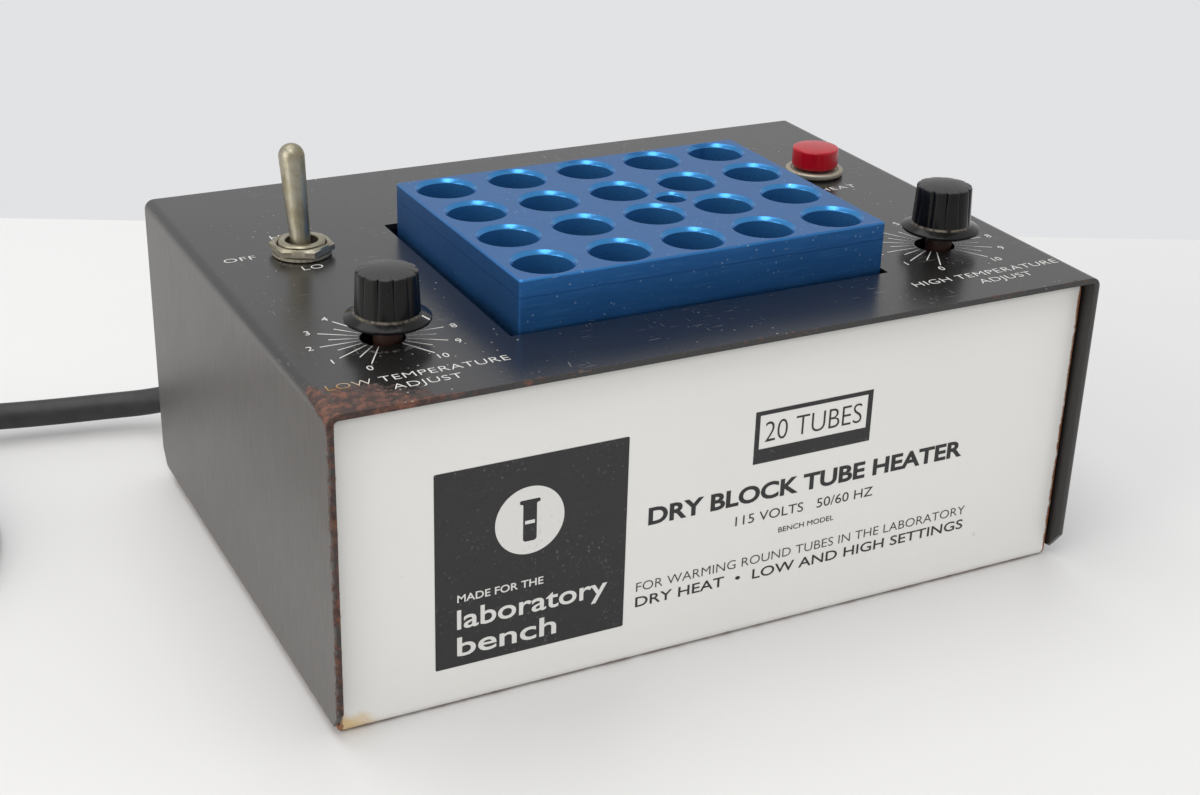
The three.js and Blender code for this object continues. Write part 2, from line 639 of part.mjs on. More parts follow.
// Resistance ribbon between mica sheets, with two terminal tabs at the back.
function heaterGeometry() {
  const low = HEATER_TOP - HEATER_THICKNESS;
  const plate = plateUnderWell(HEATER_MARGIN, low, HEATER_TOP, CLAMP_BOLT + 2 * HOLE_PLAY);
  const back = BLOCK_Y + WELL_DEPTH / 2 - HEATER_MARGIN;
  const half = HEATER_TAB_WIDTH / 2;
  const under = low + (HEATER_THICKNESS - HEATER_TAB_SHEET) / 2;
  const tabs = TAB_X.map((x) =>
    block([x - half, back - 1, under], [x + half, TAB_END, under + HEATER_TAB_SHEET]),
  );
  return join([plate, ...tabs]);
}

function clampBoltGeometry() {
  const bottom = INSULATION_BOTTOM - TOUCH;
  const head = CLAMP_BOLT + 1;
  const end = WELL_BASE + WELL_FLOOR - CLAMP_FLOOR - 0.5;
  const profile = [
    [0, bottom - CLAMP_HEAD_HEIGHT],
    [head, bottom - CLAMP_HEAD_HEIGHT],
    [head, bottom],
    [CLAMP_BOLT / 2, bottom],
    [CLAMP_BOLT / 2, end],
    [0, end],
  ];
  return turned(profile, FEW_SIDES);
}

// An angle that stands on the pan and holds one side of the well.
function bracketGeometry(side) {
  const face = (side < 0 ? WELL_LEFT : WELL_RIGHT) + side * TOUCH;
  const top = WELL_BASE + BRACKET_RISE;
  const corners = [
    [face + side * BRACKET_FOOT, FOOT_Z],
    [face, FOOT_Z],
    [face, top],
  ];
  const section = foldedSheet(side < 0 ? corners : corners.reverse(), BRACKET_SHEET, BEND_RADIUS);
  const blank = slabAlongY(section, BLOCK_Y - BRACKET_WIDTH / 2, BLOCK_Y + BRACKET_WIDTH / 2);
  const name = side < 0 ? "left" : "right";
  const tools = [];
  for (const end of ["front", "back"]) {
    const [rivetX, rivetY] = rivetPlaces[`${name}_${end}`];
    const y = wellScrewPlaces[`${name}_${end}`][1];
    tools.push(screwHole(rivetX, rivetY, FOOT_Z - 1, FOOT_TOP + 1));
    tools.push(barX(y, WELL_SCREW_Z, face - 4, face + 4, SCREW_SHANK / 2 + HOLE_PLAY));
  }
  return cut(blank, tools);
}

// A pan-head screw that points up, down or sideways once it is turned.
function panScrewGeometry(length) {
  const shank = SCREW_SHANK;
  const profile = [
    [0, -length],
    [shank / 2, -length],
    [shank / 2, 0],
    [SCREW_HEAD / 2, 0],
    [SCREW_HEAD / 2 - SCREW_HEAD_DRAFT, SCREW_HEAD_RIM],
    [0, SCREW_HEAD_HEIGHT],
  ];
  return turned(profile, FEW_SIDES);
}

// ---------------------------------------------------------------- tube block

// Five by four countersunk tube holes, with one thermometer hole between four of them.
function tubeBlockGeometry() {
  const x = BLOCK_WIDTH / 2;
  const y = BLOCK_DEPTH / 2;
  const c = BLOCK_CHAMFER;
  const outline = [
    [-x + c, -y], [x - c, -y], [x, -y + c], [x, y - c],
    [x - c, y], [-x + c, y], [-x, y - c], [-x, -y + c],
  ];
  const tools = [];
  for (let column = 0; column < COLUMNS; column += 1) {
    for (let row = 0; row < ROWS; row += 1) {
      const tubeX = (column - (COLUMNS - 1) / 2) * PITCH_X;
      const tubeY = (row - (ROWS - 1) / 2) * PITCH_Y;
      tools.push(countersunkHole(tubeX, tubeY, TUBE_BORE, TUBE_FLARE, SIDES));
    }
  }
  const between = (count, pitch) => (count % 2 ? pitch / 2 : 0);
  const thermometerX = between(COLUMNS, PITCH_X);
  const thermometerY = between(ROWS, PITCH_Y);
  tools.push(countersunkHole(thermometerX, thermometerY, THERMOMETER_BORE, THERMOMETER_FLARE, 16));
  return cut(slab(outline, 0, BLOCK_HEIGHT), tools);
}

function countersunkHole(x, y, bore, flare, sides) {
  const rim = bore + 2 * flare;
  return turned(
    [
      [0, BLOCK_HEIGHT - TUBE_DEPTH],
      [bore / 2, BLOCK_HEIGHT - TUBE_DEPTH],
      [bore / 2, BLOCK_HEIGHT - flare],
      [rim / 2, BLOCK_HEIGHT],
      [rim / 2 + CUT, BLOCK_HEIGHT + CUT],
      [0, BLOCK_HEIGHT + CUT],
    ],
    sides,
  ).translate(x, y, 0);
}

// ---------------------------------------------------------------- thermostats and knobs

// A bakelite body under the ear, with a threaded bushing through it.
function thermostatGeometry() {
  const under = -EAR_THICKNESS - TOUCH;
  const body = block(
    [-THERMOSTAT_WIDTH / 2, -THERMOSTAT_DEPTH / 2, under - THERMOSTAT_HEIGHT],
    [THERMOSTAT_WIDTH / 2, THERMOSTAT_DEPTH / 2, under],
  );
  const bushing = post(0, 0, under - 1, THERMOSTAT_BUSHING_RISE, THERMOSTAT_BUSHING / 2);
  const boreRadius = SHAFT_SPIGOT / 2 + TOUCH;
  const bore = post(0, 0, under - SHAFT_INSERTION - 1, THERMOSTAT_BUSHING_RISE + 1, boreRadius);
  return cut(join([body, bushing]), [bore]);
}

function thermostatNutGeometry() {
  const low = TOUCH;
  const high = TOUCH + THERMOSTAT_NUT_HEIGHT;
  const hole = post(0, 0, low - 1, high + 1, THERMOSTAT_BUSHING / 2 + TOUCH);
  return cut(hexPost(0, 0, low, high, THERMOSTAT_NUT_FLATS), [hole]);
}

// An insulating shaft: a spigot in the thermostat's bushing, a stouter bar up into the knob.
function shaftGeometry() {
  const knobFoot = TOP + KNOB_CLEAR - EAR_TOP;
  const spigot = SHAFT_SPIGOT / 2;
  return turned([
    [0, -EAR_THICKNESS - TOUCH - SHAFT_INSERTION],
    [spigot, -EAR_THICKNESS - TOUCH - SHAFT_INSERTION],
    [spigot, THERMOSTAT_BUSHING_RISE + TOUCH],
    [SHAFT_DIAMETER / 2, THERMOSTAT_BUSHING_RISE + TOUCH],
    [SHAFT_DIAMETER / 2, knobFoot + KNOB_BORE_DEPTH - 0.5],
    [0, knobFoot + KNOB_BORE_DEPTH - 0.5],
  ]);
}

// A fluted knob on a flared skirt, standing on z = 0 with its index line along +X.
function knobGeometry() {
  const skirt = KNOB_SKIRT_DIAMETER / 2;
  const base = KNOB_BASE_DIAMETER / 2;
  const rim = KNOB_SKIRT_HEIGHT + KNOB_BODY_HEIGHT;
  const body = turned(
    [
      [0, 0],
      [skirt, 0],
      [skirt, KNOB_SKIRT_EDGE],
      [base, KNOB_SKIRT_HEIGHT],
      [KNOB_TOP_DIAMETER / 2, rim],
      [KNOB_TOP_DIAMETER / 4, rim + KNOB_DOME * 0.8],
      [0, rim + KNOB_DOME],
    ],
    KNOB_SIDES,
  );
  const bore = post(0, 0, -1, KNOB_BORE_DEPTH, SHAFT_DIAMETER / 2 + TOUCH);
  const threaded = barX(0, SET_SCREW_HEIGHT, -skirt, 0, SET_SCREW / 2 + TOUCH);
  return cut(body, [bore, threaded]);
}

function setScrewGeometry() {
  const inner = SHAFT_DIAMETER / 2 + 2 * TOUCH;
  return barX(0, SET_SCREW_HEIGHT, -KNOB_TOP_DIAMETER / 2 + 0.6, -inner, SET_SCREW / 2);
}

// ---------------------------------------------------------------- toggle switch

// The body hangs under the cover, long side front to back, with three solder tabs below it.
function switchBodyGeometry() {
  const bottom = SWITCH_TOP - SWITCH_BODY_HEIGHT;
  const body = block(
    [-SWITCH_WIDTH / 2, -SWITCH_LENGTH / 2, bottom],
    [SWITCH_WIDTH / 2, SWITCH_LENGTH / 2, SWITCH_TOP],
  );
  const bushing = post(0, 0, SWITCH_TOP - 1, SWITCH_BUSHING_TOP, SWITCH_BUSHING / 2);
  const tabs = [-1, 0, 1].map((place) => {
    const y = place * SWITCH_TAB_PITCH;
    const x = SWITCH_TAB_WIDTH / 2;
    const half = SWITCH_TAB_SHEET / 2;
    return block([-x, y - half, bottom - SWITCH_TAB], [x, y + half, bottom + 1]);
  });
  const bore = post(0, 0, -LEVER_PIVOT_DROP - 5, SWITCH_BUSHING_TOP + 1, SWITCH_BORE / 2);
  return cut(join([body, bushing, ...tabs]), [bore]);
}

function switchNutGeometry() {
  const high = NUT_LOW + SWITCH_NUT_HEIGHT;
  const hole = post(0, 0, NUT_LOW - 1, high + 1, SWITCH_BUSHING / 2 + TOUCH);
  return cut(hexPost(0, 0, NUT_LOW, high, SWITCH_NUT_FLATS), [hole]);
}

function switchWasherGeometry() {
  const high = TOUCH + SWITCH_WASHER;
  const hole = post(0, 0, 0, high + 1, SWITCH_BUSHING / 2 + TOUCH);
  return cut(post(0, 0, TOUCH, high, SWITCH_NUT_FLATS / 2), [hole]);
}

// A bat lever about its pivot at the origin, wider towards its round tip.
function leverGeometry() {
  const tip = LEVER_TIP_DIAMETER / 2;
  const base = LEVER_BASE_DIAMETER / 2;
  const ball = LEVER_BALL_RADIUS;
  const profile = [
    [0, -ball],
    [ball * 0.67, -ball * 0.8],
    [base + LEVER_COLLAR, 0],
    [base, ball * 0.8],
    [tip, LEVER_LENGTH],
  ];
  for (let step = 1; step < 5; step += 1) {
    const angle = (step * 90 * DEGREE) / 5;
    profile.push([tip * Math.cos(angle), LEVER_LENGTH + tip * Math.sin(angle)]);
  }
  profile.push([0, LEVER_LENGTH + tip]);
  return turned(profile, 16);
}

// ---------------------------------------------------------------- pilot lamp

// A nickel bezel on a barrel that goes down through the cover.
function lampBodyGeometry() {
  const bezel = LAMP_BEZEL_DIAMETER / 2;
  const barrel = LAMP_BARREL_DIAMETER / 2;
  const seat = LAMP_BEZEL_HEIGHT + TOUCH;
  return turned([
    [0, -LAMP_BARREL_LENGTH],
    [barrel, -LAMP_BARREL_LENGTH],
    [barrel, TOUCH],
    [bezel, TOUCH],
    [bezel, seat - LAMP_EDGE],
    [bezel - LAMP_EDGE, seat],
    [0, seat],
  ]);
}

function lampLensGeometry() {
  const radius = LAMP_LENS_DIAMETER / 2;
  const low = LAMP_BEZEL_HEIGHT + 2 * TOUCH;
  const high = low + LAMP_LENS_HEIGHT;
  return turned([
    [0, low],
    [radius, low],
    [radius, high - LAMP_EDGE],
    [radius - LAMP_EDGE, high],
    [0, high],
  ]);
}

// A spring nut that grips the barrel under the cover.
function lampClipGeometry() {
  const high = -COVER_SHEET - TOUCH;
  const low = high - LAMP_CLIP_SHEET;
  const hole = post(0, 0, low - 1, high + 1, LAMP_BARREL_DIAMETER / 2 + TOUCH);
  return cut(post(0, 0, low, high, LAMP_BEZEL_DIAMETER / 2 + 1), [hole]);
}

// ---------------------------------------------------------------- terminals and leads

const stripScrewX = [-1, 0, 1].map((place) => STRIP_X + place * STRIP_PITCH);

function terminalStripGeometry() {
  const strip = block(
    [STRIP_X - STRIP_LENGTH / 2, STRIP_Y - STRIP_DEPTH / 2, FOOT_Z],
    [STRIP_X + STRIP_LENGTH / 2, STRIP_Y + STRIP_DEPTH / 2, STRIP_TOP],
  );
  const end = STRIP_TOP - STRIP_SCREW_LENGTH - 1;
  const holes = stripScrewX.map((x) => screwHole(x, STRIP_Y, end, STRIP_TOP + CUT));
  return cut(strip, holes);
}

// Each lead runs through its points from terminal to terminal inside the case.
function leadRoutes() {
  const relief = [CORD_EXIT_X, PANEL_BACK - PAN_SHEET - 6, CORD_EXIT_Z];
  const switchTabZ = TOP + SWITCH_TOP - SWITCH_BODY_HEIGHT - SWITCH_TAB - LEAD_GAP;
  const thermostatZ = EAR_TOP - EAR_THICKNESS - THERMOSTAT_HEIGHT / 2;
  const thermostatBack = THERMOSTAT_DEPTH / 2 + LEAD_GAP;
  const stripLeft = STRIP_X - STRIP_LENGTH / 2 - LEAD_GAP;
  const tabZ = HEATER_TOP - HEATER_THICKNESS / 2;
  const lampEnd = TOP - LAMP_BARREL_LENGTH - LEAD_GAP;
  const low = shafts.low;
  const high = shafts.high;
  return {
    line_lead: {
      look: "lead_black",
      points: [
        [relief[0] - 3, relief[1], relief[2]],
        [relief[0] - 3.5, relief[1] - 12, relief[2] + 4],
        [SWITCH_X - 2, SWITCH_Y + 14, (relief[2] + switchTabZ) / 2],
        [SWITCH_X, SWITCH_Y + SWITCH_TAB_PITCH, switchTabZ],
      ],
    },
    neutral_lead: {
      look: "lead_white",
      points: [
        [relief[0] + 3, relief[1], relief[2]],
        [relief[0] + 10, relief[1] - 4, relief[2] - 2],
        [stripLeft - 12, STRIP_Y + 2, FOOT_Z + 9],
        [stripLeft, STRIP_Y, FOOT_Z + 6],
      ],
    },
    ground_lead: {
      look: "lead_green",
      points: [
        [relief[0], relief[1], relief[2] - 4],
        [relief[0] + 3, relief[1] - 8, relief[2] - 8],
        [GROUND_X - 9, GROUND_Y - 3, FOOT_Z + 4],
        [GROUND_X - SCREW_HEAD / 2 - LEAD_GAP, GROUND_Y, FOOT_Z + 2],
      ],
    },
    heater_lead: {
      look: "lead_white",
      points: [
        [STRIP_X + STRIP_LENGTH / 2 + LEAD_GAP, STRIP_Y, FOOT_Z + 6],
        [STRIP_X + STRIP_LENGTH / 2 + 10, STRIP_Y - 2, FOOT_Z + 12],
        [TAB_X[1], TAB_END + 8, tabZ - 6],
        [TAB_X[1], TAB_END + LEAD_GAP, tabZ],
      ],
    },
    low_lead: {
      look: "lead_red",
      points: [
        [SWITCH_X, SWITCH_Y - SWITCH_TAB_PITCH, switchTabZ],
        [SWITCH_X, SWITCH_Y - SWITCH_TAB_PITCH - 3, switchTabZ - 8],
        [low.x, low.y + thermostatBack + 10, thermostatZ - 2],
        [low.x, low.y + thermostatBack, thermostatZ],
      ],
    },
    high_lead: {
      look: "lead_red",
      points: [
        [SWITCH_X, SWITCH_Y, switchTabZ],
        [SWITCH_X + 6, SWITCH_Y + 14, switchTabZ - 7],
        [WELL_LEFT + 14, BLOCK_Y + WELL_DEPTH / 2 + 11, switchTabZ - 8],
        [WELL_RIGHT - 14, BLOCK_Y + WELL_DEPTH / 2 + 11, switchTabZ - 8],
        [high.x - 8, BLOCK_Y + WELL_DEPTH / 2 + 4, thermostatZ - 10],
        [high.x, high.y + thermostatBack + 16, thermostatZ - 6],
        [high.x, high.y + thermostatBack, thermostatZ],
      ],
    },
    lamp_lead: {
      look: "lead_black",
      points: [
        [TAB_X[0], TAB_END + LEAD_GAP, tabZ],
        [TAB_X[0] + 6, TAB_END + 9, tabZ + 1],
        [TAB_X[1] + 20, TAB_END + 14, tabZ + 2],
        [LAMP_X - 8, TAB_END + 10, tabZ + 8],
        [LAMP_X, LAMP_Y + 3, lampEnd - 7],
        [LAMP_X, LAMP_Y, lampEnd],
      ],
    },
  };
}

// ---------------------------------------------------------------- cord and plug

// A stretch of another curve, between two of its parameters.
class Stretch extends THREE.Curve {
  constructor(whole, from, to) {
    super();
    Object.assign(this, { whole, from, to });
  }

  getPoint(t) {
    return this.whole.getPoint(this.from + (this.to - this.from) * t);
  }
}

const cordCurve = curveThrough(CORD_ROUTE);
const RELIEF_SHARE = (RELIEF_POINTS - 1) / (CORD_ROUTE.length - 1);
const CORD_GAP_SHARE = 0.004; // leaves about half a millimetre between boot and cord

// A grommet that grips the back panel and a boot that follows the cord's first bend.
function strainReliefGeometry() {
  const boot = tubeAlong(new Stretch(cordCurve, 0, RELIEF_SHARE), RELIEF_BOOT, FEW_SIDES, 8);
  const inside = -PAN_SHEET - TOUCH;
  const rim = RELIEF_FLANGE / 2;
  return join([
    boot,
    barY(0, CORD_EXIT_Z, TOUCH, TOUCH + RELIEF_FLANGE_THICKNESS, rim, rim - 0.8),
    barY(0, CORD_EXIT_Z, inside - 1, TOUCH + 1, RELIEF_DIAMETER / 2),
    barY(0, CORD_EXIT_Z, inside - RELIEF_COLLAR, inside, rim - 1),
  ]);
}

function cordCoilGeometry() {
  const half = (COIL_TURNS_WIDE * CORD_DIAMETER) / 2;
  const outer = COIL_MEAN_RADIUS + half;
  const inner = COIL_MEAN_RADIUS - half - COIL_CROSSING;
  const low = 0.1;
  const high = COIL_LAYERS * CORD_DIAMETER + 2 * low;
  const round = COIL_ROUND;
  const ring = [
    [inner + round, low],
    [outer - round, low],
    [outer, low + round],
    [outer, high - round],
    [outer - round, high],
    [inner + round, high],
    [inner, high - round],
    [inner, low + round],
    [inner + round, low],
  ];
  return turned(ring, COIL_SIDES);
}

// A moulded three-pin plug that lies on the bench with its blades towards -Y.
function plugBodyGeometry() {
  const x = PLUG_WIDTH / 2;
  const z = PLUG_HEIGHT / 2;
  const corners = [[0, -z], [x, -z], [x, z], [-x, z], [-x, -z], [0, -z]];
  const section = rounded(corners, () => PLUG_CORNER).slice(0, -1);
  const shoulder = PLUG_FACE + PLUG_LENGTH;
  const body = slabAlongY(section, PLUG_FACE, shoulder).translate(PLUG_X, 0, PLUG_AXIS_Z);
  const mouth = CORD_DIAMETER / 2 + 1.2;
  const nose = barY(PLUG_X, PLUG_AXIS_Z, shoulder - 2, PLUG_BACK, PLUG_NOSE_DIAMETER / 2, mouth);
  const end = PLUG_FACE + BLADE_ROOT + TOUCH;
  const slots = [-1, 1].map((side) => {
    const middle = PLUG_X + (side * BLADE_PITCH) / 2;
    const [halfX, halfZ] = BLADE_SECTION.map((size) => size / 2 + TOUCH);
    const low = [middle - halfX, PLUG_FACE - CUT, BLADE_Z - halfZ];
    return block(low, [middle + halfX, end, BLADE_Z + halfZ]);
  });
  const pinHole = barY(PLUG_X, PIN_Z, PLUG_FACE - 1, end, PIN_DIAMETER / 2 + TOUCH);
  return cut(join([body, nose]), [...slots, pinHole]);
}

function bladeGeometry(side) {
  const middle = PLUG_X + (side * BLADE_PITCH) / 2;
  const [x, z] = BLADE_SECTION.map((size) => size / 2);
  const low = [middle - x, PLUG_FACE - BLADE_LENGTH, BLADE_Z - z];
  return block(low, [middle + x, PLUG_FACE + BLADE_ROOT, BLADE_Z + z]);
}

// ---------------------------------------------------------------- assembly

addPiece("cover", coverGeometry(), "black_paint");
addPiece("pan", panGeometry(), "white_enamel");
for (const [name, [x, y]] of Object.entries(screwPlaces)) {
  addPiece(`cover_screw_${name}`, coverScrewGeometry(), "zinc", groupAt(x, y, 0));
}

addPiece("heating_well", wellGeometry(), "aluminium");
addPiece("heating_element", heaterGeometry(), "mica");
addPiece(
  "clamp_plate",
  plateUnderWell(HEATER_MARGIN, CLAMP_TOP - CLAMP_SHEET, CLAMP_TOP, CLAMP_BOLT + 2 * HOLE_PLAY),
  "zinc",
);
addPiece(
  "insulation_board",
  plateUnderWell(INSULATION_MARGIN, INSULATION_BOTTOM, INSULATION_TOP, CLAMP_BOLT + 2 * HOLE_PLAY),
  "insulation",
);
addPiece("clamp_bolt", clampBoltGeometry(), "zinc", groupAt(BLOCK_X, BLOCK_Y, 0));
addPiece("well_bracket_left", bracketGeometry(-1), "zinc");
addPiece("well_bracket_right", bracketGeometry(1), "zinc");
for (const [name, [x, y]] of Object.entries(rivetPlaces)) {
  const reach = FOOT_TOP + TOUCH - 0.2;
  addPiece(`bracket_rivet_${name}`, panScrewGeometry(reach), "aluminium", groupAt(x, y, FOOT_TOP + TOUCH));
}
for (const [name, [side, y]] of Object.entries(wellScrewPlaces)) {
  const seat = (side < 0 ? WELL_LEFT : WELL_RIGHT) + side * (2 * TOUCH + BRACKET_SHEET);
  const screw = addPiece(`well_screw_${name}`, panScrewGeometry(WELL_SCREW_DEPTH + 2), "zinc");
  screw.position.set(seat, y, WELL_SCREW_Z);
  screw.rotation.y = side * 90 * DEGREE;
}

const blockGroup = groupAt(BLOCK_X, BLOCK_Y, BLOCK_BOTTOM);
blockGroup.rotation.z = BLOCK_TURN * DEGREE;
addPiece("tube_block", tubeBlockGeometry(), "blue_anodised", blockGroup);

const settings = { low: LOW_SETTING_ANGLE, high: HIGH_SETTING_ANGLE };
for (const [name, { x, y }] of Object.entries(shafts)) {
  const thermostat = groupAt(x, y, EAR_TOP);
  addPiece(`${name}_thermostat`, thermostatGeometry(), "brown_phenolic", thermostat);
  addPiece(`${name}_thermostat_nut`, thermostatNutGeometry(), "brass", thermostat);
  addPiece(`${name}_shaft`, shaftGeometry(), "brown_phenolic", thermostat);
  const knob = groupAt(x, y, TOP + KNOB_CLEAR);
  knob.rotation.z = settings[name] * DEGREE;
  addPiece(`${name}_knob`, knobGeometry(), "black_phenolic", knob);
  addPiece(`${name}_knob_screw`, setScrewGeometry(), "zinc", knob);
}

const toggle = groupAt(SWITCH_X, SWITCH_Y, TOP);
addPiece("switch_body", switchBodyGeometry(), "nickel", toggle);
addPiece("switch_nut", switchNutGeometry(), "nickel", toggle);
addPiece("switch_washer", switchWasherGeometry(), "nickel", toggle);
const lever = groupAt(0, 0, -LEVER_PIVOT_DROP, toggle);
lever.rotation.x = -LEVER_LEAN * DEGREE;
addPiece("switch_lever", leverGeometry(), "nickel", lever);

const lamp = groupAt(LAMP_X, LAMP_Y, TOP);
addPiece("lamp_body", lampBodyGeometry(), "nickel", lamp);
addPiece("lamp_lens", lampLensGeometry(), "red_lens", lamp);
addPiece("lamp_clip", lampClipGeometry(), "zinc", lamp);

addPiece("terminal_strip", terminalStripGeometry(), "brown_phenolic");
stripScrewX.forEach((x, i) => {
  const place = groupAt(x, STRIP_Y, STRIP_TOP + TOUCH);
  addPiece(`terminal_screw_${i + 1}`, panScrewGeometry(STRIP_SCREW_LENGTH), "brass", place);
});
const ground = groupAt(GROUND_X, GROUND_Y, FOOT_Z);
addPiece("ground_screw", panScrewGeometry(FOOT_Z - 0.2), "zinc", ground);
for (const [name, { look, points }] of Object.entries(leadRoutes())) {
  const steps = 4 * (points.length - 1);
  addPiece(name, tubeAlong(curveThrough(points), LEAD_DIAMETER, LEAD_SIDES, steps), look);
}

// Everything on the cord is placed from the hole in the back panel.
const cord = groupAt(CORD_EXIT_X, PANEL_BACK, 0);
const freeCord = new Stretch(cordCurve, RELIEF_SHARE + CORD_GAP_SHARE, 1);
const pinEnds = [PLUG_FACE - BLADE_LENGTH - PIN_EXTRA, PLUG_FACE + BLADE_ROOT];
const onCord = {
  strain_relief: [strainReliefGeometry(), "black_rubber"],
  cord_lead: [tubeAlong(freeCord, CORD_DIAMETER, CORD_SIDES, 10), "black_rubber"],
  cord_coil: [cordCoilGeometry().translate(COIL_X, COIL_Y, 0), "black_rubber"],
  cord_tail: [tubeAlong(curveThrough(TAIL_ROUTE), CORD_DIAMETER, CORD_SIDES, 8), "black_rubber"],
  plug_body: [plugBodyGeometry(), "black_rubber"],
  plug_line_blade: [bladeGeometry(-1), "brass"],
  plug_neutral_blade: [bladeGeometry(1), "brass"],
  plug_ground_pin: [barY(PLUG_X, PIN_Z, ...pinEnds, PIN_DIAMETER / 2), "brass"],
};
for (const [name, [geometry, look]] of Object.entries(onCord)) {
  addPiece(name, geometry, look, cord);
}

export default heater;
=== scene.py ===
"""A dry block heater: a folded black steel cover over a white enamelled pan, a blue anodised tube
block in its opening, two fluted knobs, a toggle switch, a pilot lamp and a mains cord with its plug.

Shapes are worked out in millimetres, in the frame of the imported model, and made in metres.
"""
import json
import math

import bmesh
import bpy
import numpy as np
from mathutils import Matrix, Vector
from mathutils.geometry import tessellate_polygon


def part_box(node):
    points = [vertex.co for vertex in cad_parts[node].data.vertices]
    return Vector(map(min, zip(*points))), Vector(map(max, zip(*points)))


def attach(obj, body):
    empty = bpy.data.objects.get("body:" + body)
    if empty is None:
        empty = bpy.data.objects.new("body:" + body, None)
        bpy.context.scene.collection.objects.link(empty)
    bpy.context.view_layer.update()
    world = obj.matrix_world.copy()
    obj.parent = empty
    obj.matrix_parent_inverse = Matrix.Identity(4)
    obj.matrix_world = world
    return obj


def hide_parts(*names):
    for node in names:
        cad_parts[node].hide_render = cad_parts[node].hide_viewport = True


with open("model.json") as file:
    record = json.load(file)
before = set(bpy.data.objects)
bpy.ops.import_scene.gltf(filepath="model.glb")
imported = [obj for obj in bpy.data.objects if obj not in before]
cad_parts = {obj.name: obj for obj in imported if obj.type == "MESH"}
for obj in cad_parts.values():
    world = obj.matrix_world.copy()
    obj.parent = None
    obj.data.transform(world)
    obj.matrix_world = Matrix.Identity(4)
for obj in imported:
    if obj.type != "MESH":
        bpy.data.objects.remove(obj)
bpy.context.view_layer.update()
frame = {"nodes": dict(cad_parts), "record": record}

MM = 0.001
TAU = 2 * math.pi
PRINT = 0.06  # thickness of the printed marks
NEARLY_STRAIGHT = 1.5  # half of a corner's angle, in radians
MERGE_DISTANCE = 4e-7  # metres
SLIVER_DISTANCE = 1e-7  # metres; narrower faces are dissolved

# ---------------------------------------------------------------- places taken from the frame


def low_of(node):
    """The lowest corner of a CAD node, in millimetres."""
    return np.array(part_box(node)[0]) / MM


def high_of(node):
    """The highest corner of a CAD node, in millimetres."""
    return np.array(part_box(node)[1]) / MM


def middle_of(node):
    """The middle of a CAD node's box, in millimetres."""
    return (low_of(node) + high_of(node)) / 2


CASE_RIGHT = high_of("cover")[0]
CASE_BACK = high_of("cover")[1]
TOP = high_of("cover")[2]
COVER_BOTTOM = low_of("cover")[2]
PAN_RIGHT = high_of("pan")[0]
PAN_TOP = high_of("pan")[2]
PANEL_FRONT = low_of("pan")[1]
BLOCK_MIDDLE = middle_of("tube_block")
BLOCK_TOP = high_of("tube_block")[2]
BLOCK_BOTTOM = low_of("tube_block")[2]
SHAFTS = {"low": middle_of("low_shaft"), "high": middle_of("high_shaft")}
KNOB_FOOT = low_of("low_knob")[2]
SWITCH = middle_of("switch_nut")
LAMP = middle_of("lamp_body")

# ---------------------------------------------------------------- sizes

COVER_SHEET = 1.5
PAN_SHEET = 1.2
BEND_RADIUS = 2.6
BEND_STEPS = 10
COVER_FLANGE = 13
FLANGE_INSET = 8  # the cover's flanges end this far from its front and back edges
FLANGE_RELIEF = 1.5  # and the inset stops this far along the sheet before the side
PAN_FLANGE = 10
CORNER_CLIP = 4
SCREW_HOLE = 4.3
SCREW_HEAD_HOLE = 6.7  # in the pan, under each cover screw
SHAFT_HOLE = 10.4
SHAFT_OFFSET = 1.3  # each shaft stands this far to the right of its hole's middle
SWITCH_HOLE = 12.2
LAMP_HOLE = 13
CORD_HOLE = 12.6
OPENING_GAPS = {"left": 2, "right": 1.2, "front": 1.2, "back": 4.2}
OPENING_CORNER = 0.5

BLOCK_SIZE = (100, 74.6)
BLOCK_TURN = math.radians(0.6)
BLOCK_CORNER = 0.9
BLOCK_CHAMFER = 0.45
BLOCK_EDGES = (10.2, 8.95)  # from the sides to the outer tube holes
TUBE_COUNTS = (5, 4)
TUBE_BORE = 14.2
TUBE_RIM = 16
TUBE_DEPTH = 45
THERMOMETER_BORE = 7.3
THERMOMETER_RIM = 8.7
DRILL_POINT = 0.6
RIM_BREAK = 0.12  # the countersink's lower edge is eased over this much each way

KNOB_SKIRT = 10  # radius
KNOB_BASE = 7.5  # radius of the body where it meets the skirt
KNOB_RIM = 7.05  # radius of the body under its dome
KNOB_BORE = 3.75  # radius
KNOB_BORE_DEPTH = 8
SKIRT_EDGE = 0.95  # height of the skirt's rim
KNOB_SKIRT_HEIGHT = 1.9
KNOB_BODY_HEIGHT = 10
KNOB_DOME = 0.8
KNOB_FLUTES = 12
GROOVE_SHARES = (0.03, 0.09)  # depth of the grooves at the foot and at the rim, as shares of the radius
INDEX_LINE_WIDTH = 0.6
INDEX_LINE_DEPTH = 0.25
SHAFT_RADIUS = 3.4
SPIGOT_RADIUS = 2.5
SETTINGS = {"low": -38.5, "high": 60}  # degrees from +X, where each index line points
DIAL_START = -120  # degrees from +X to the mark for 0
DIAL_STEP = -30

NUT_FLATS = 14.3
BUSHING_HOLE = 6.2  # radius of the hole in the nut and in the washer
WASHER_RADIUS = 7.25
WASHER_TEETH = 15
THREAD_RADIUS = 5.85
THREAD_PITCH = 0.8
THREAD_DEPTH = 0.3
BUSHING_BORE = 4.1  # radius
SWITCH_TAB_HEIGHT = 7
SWITCH_TAB_PITCH = 8
LEVER_LENGTH = 25.5
LEVER_TIP = 3.25  # radius
LEVER_WAIST = 2.5  # radius
LEVER_BALL = 2.9  # radius
LEVER_LEAN = math.radians(12)
LEVER_PIVOT_DROP = 1.2

LAMP_BARREL = 6.3  # radius
BEZEL_RADIUS = 8.2

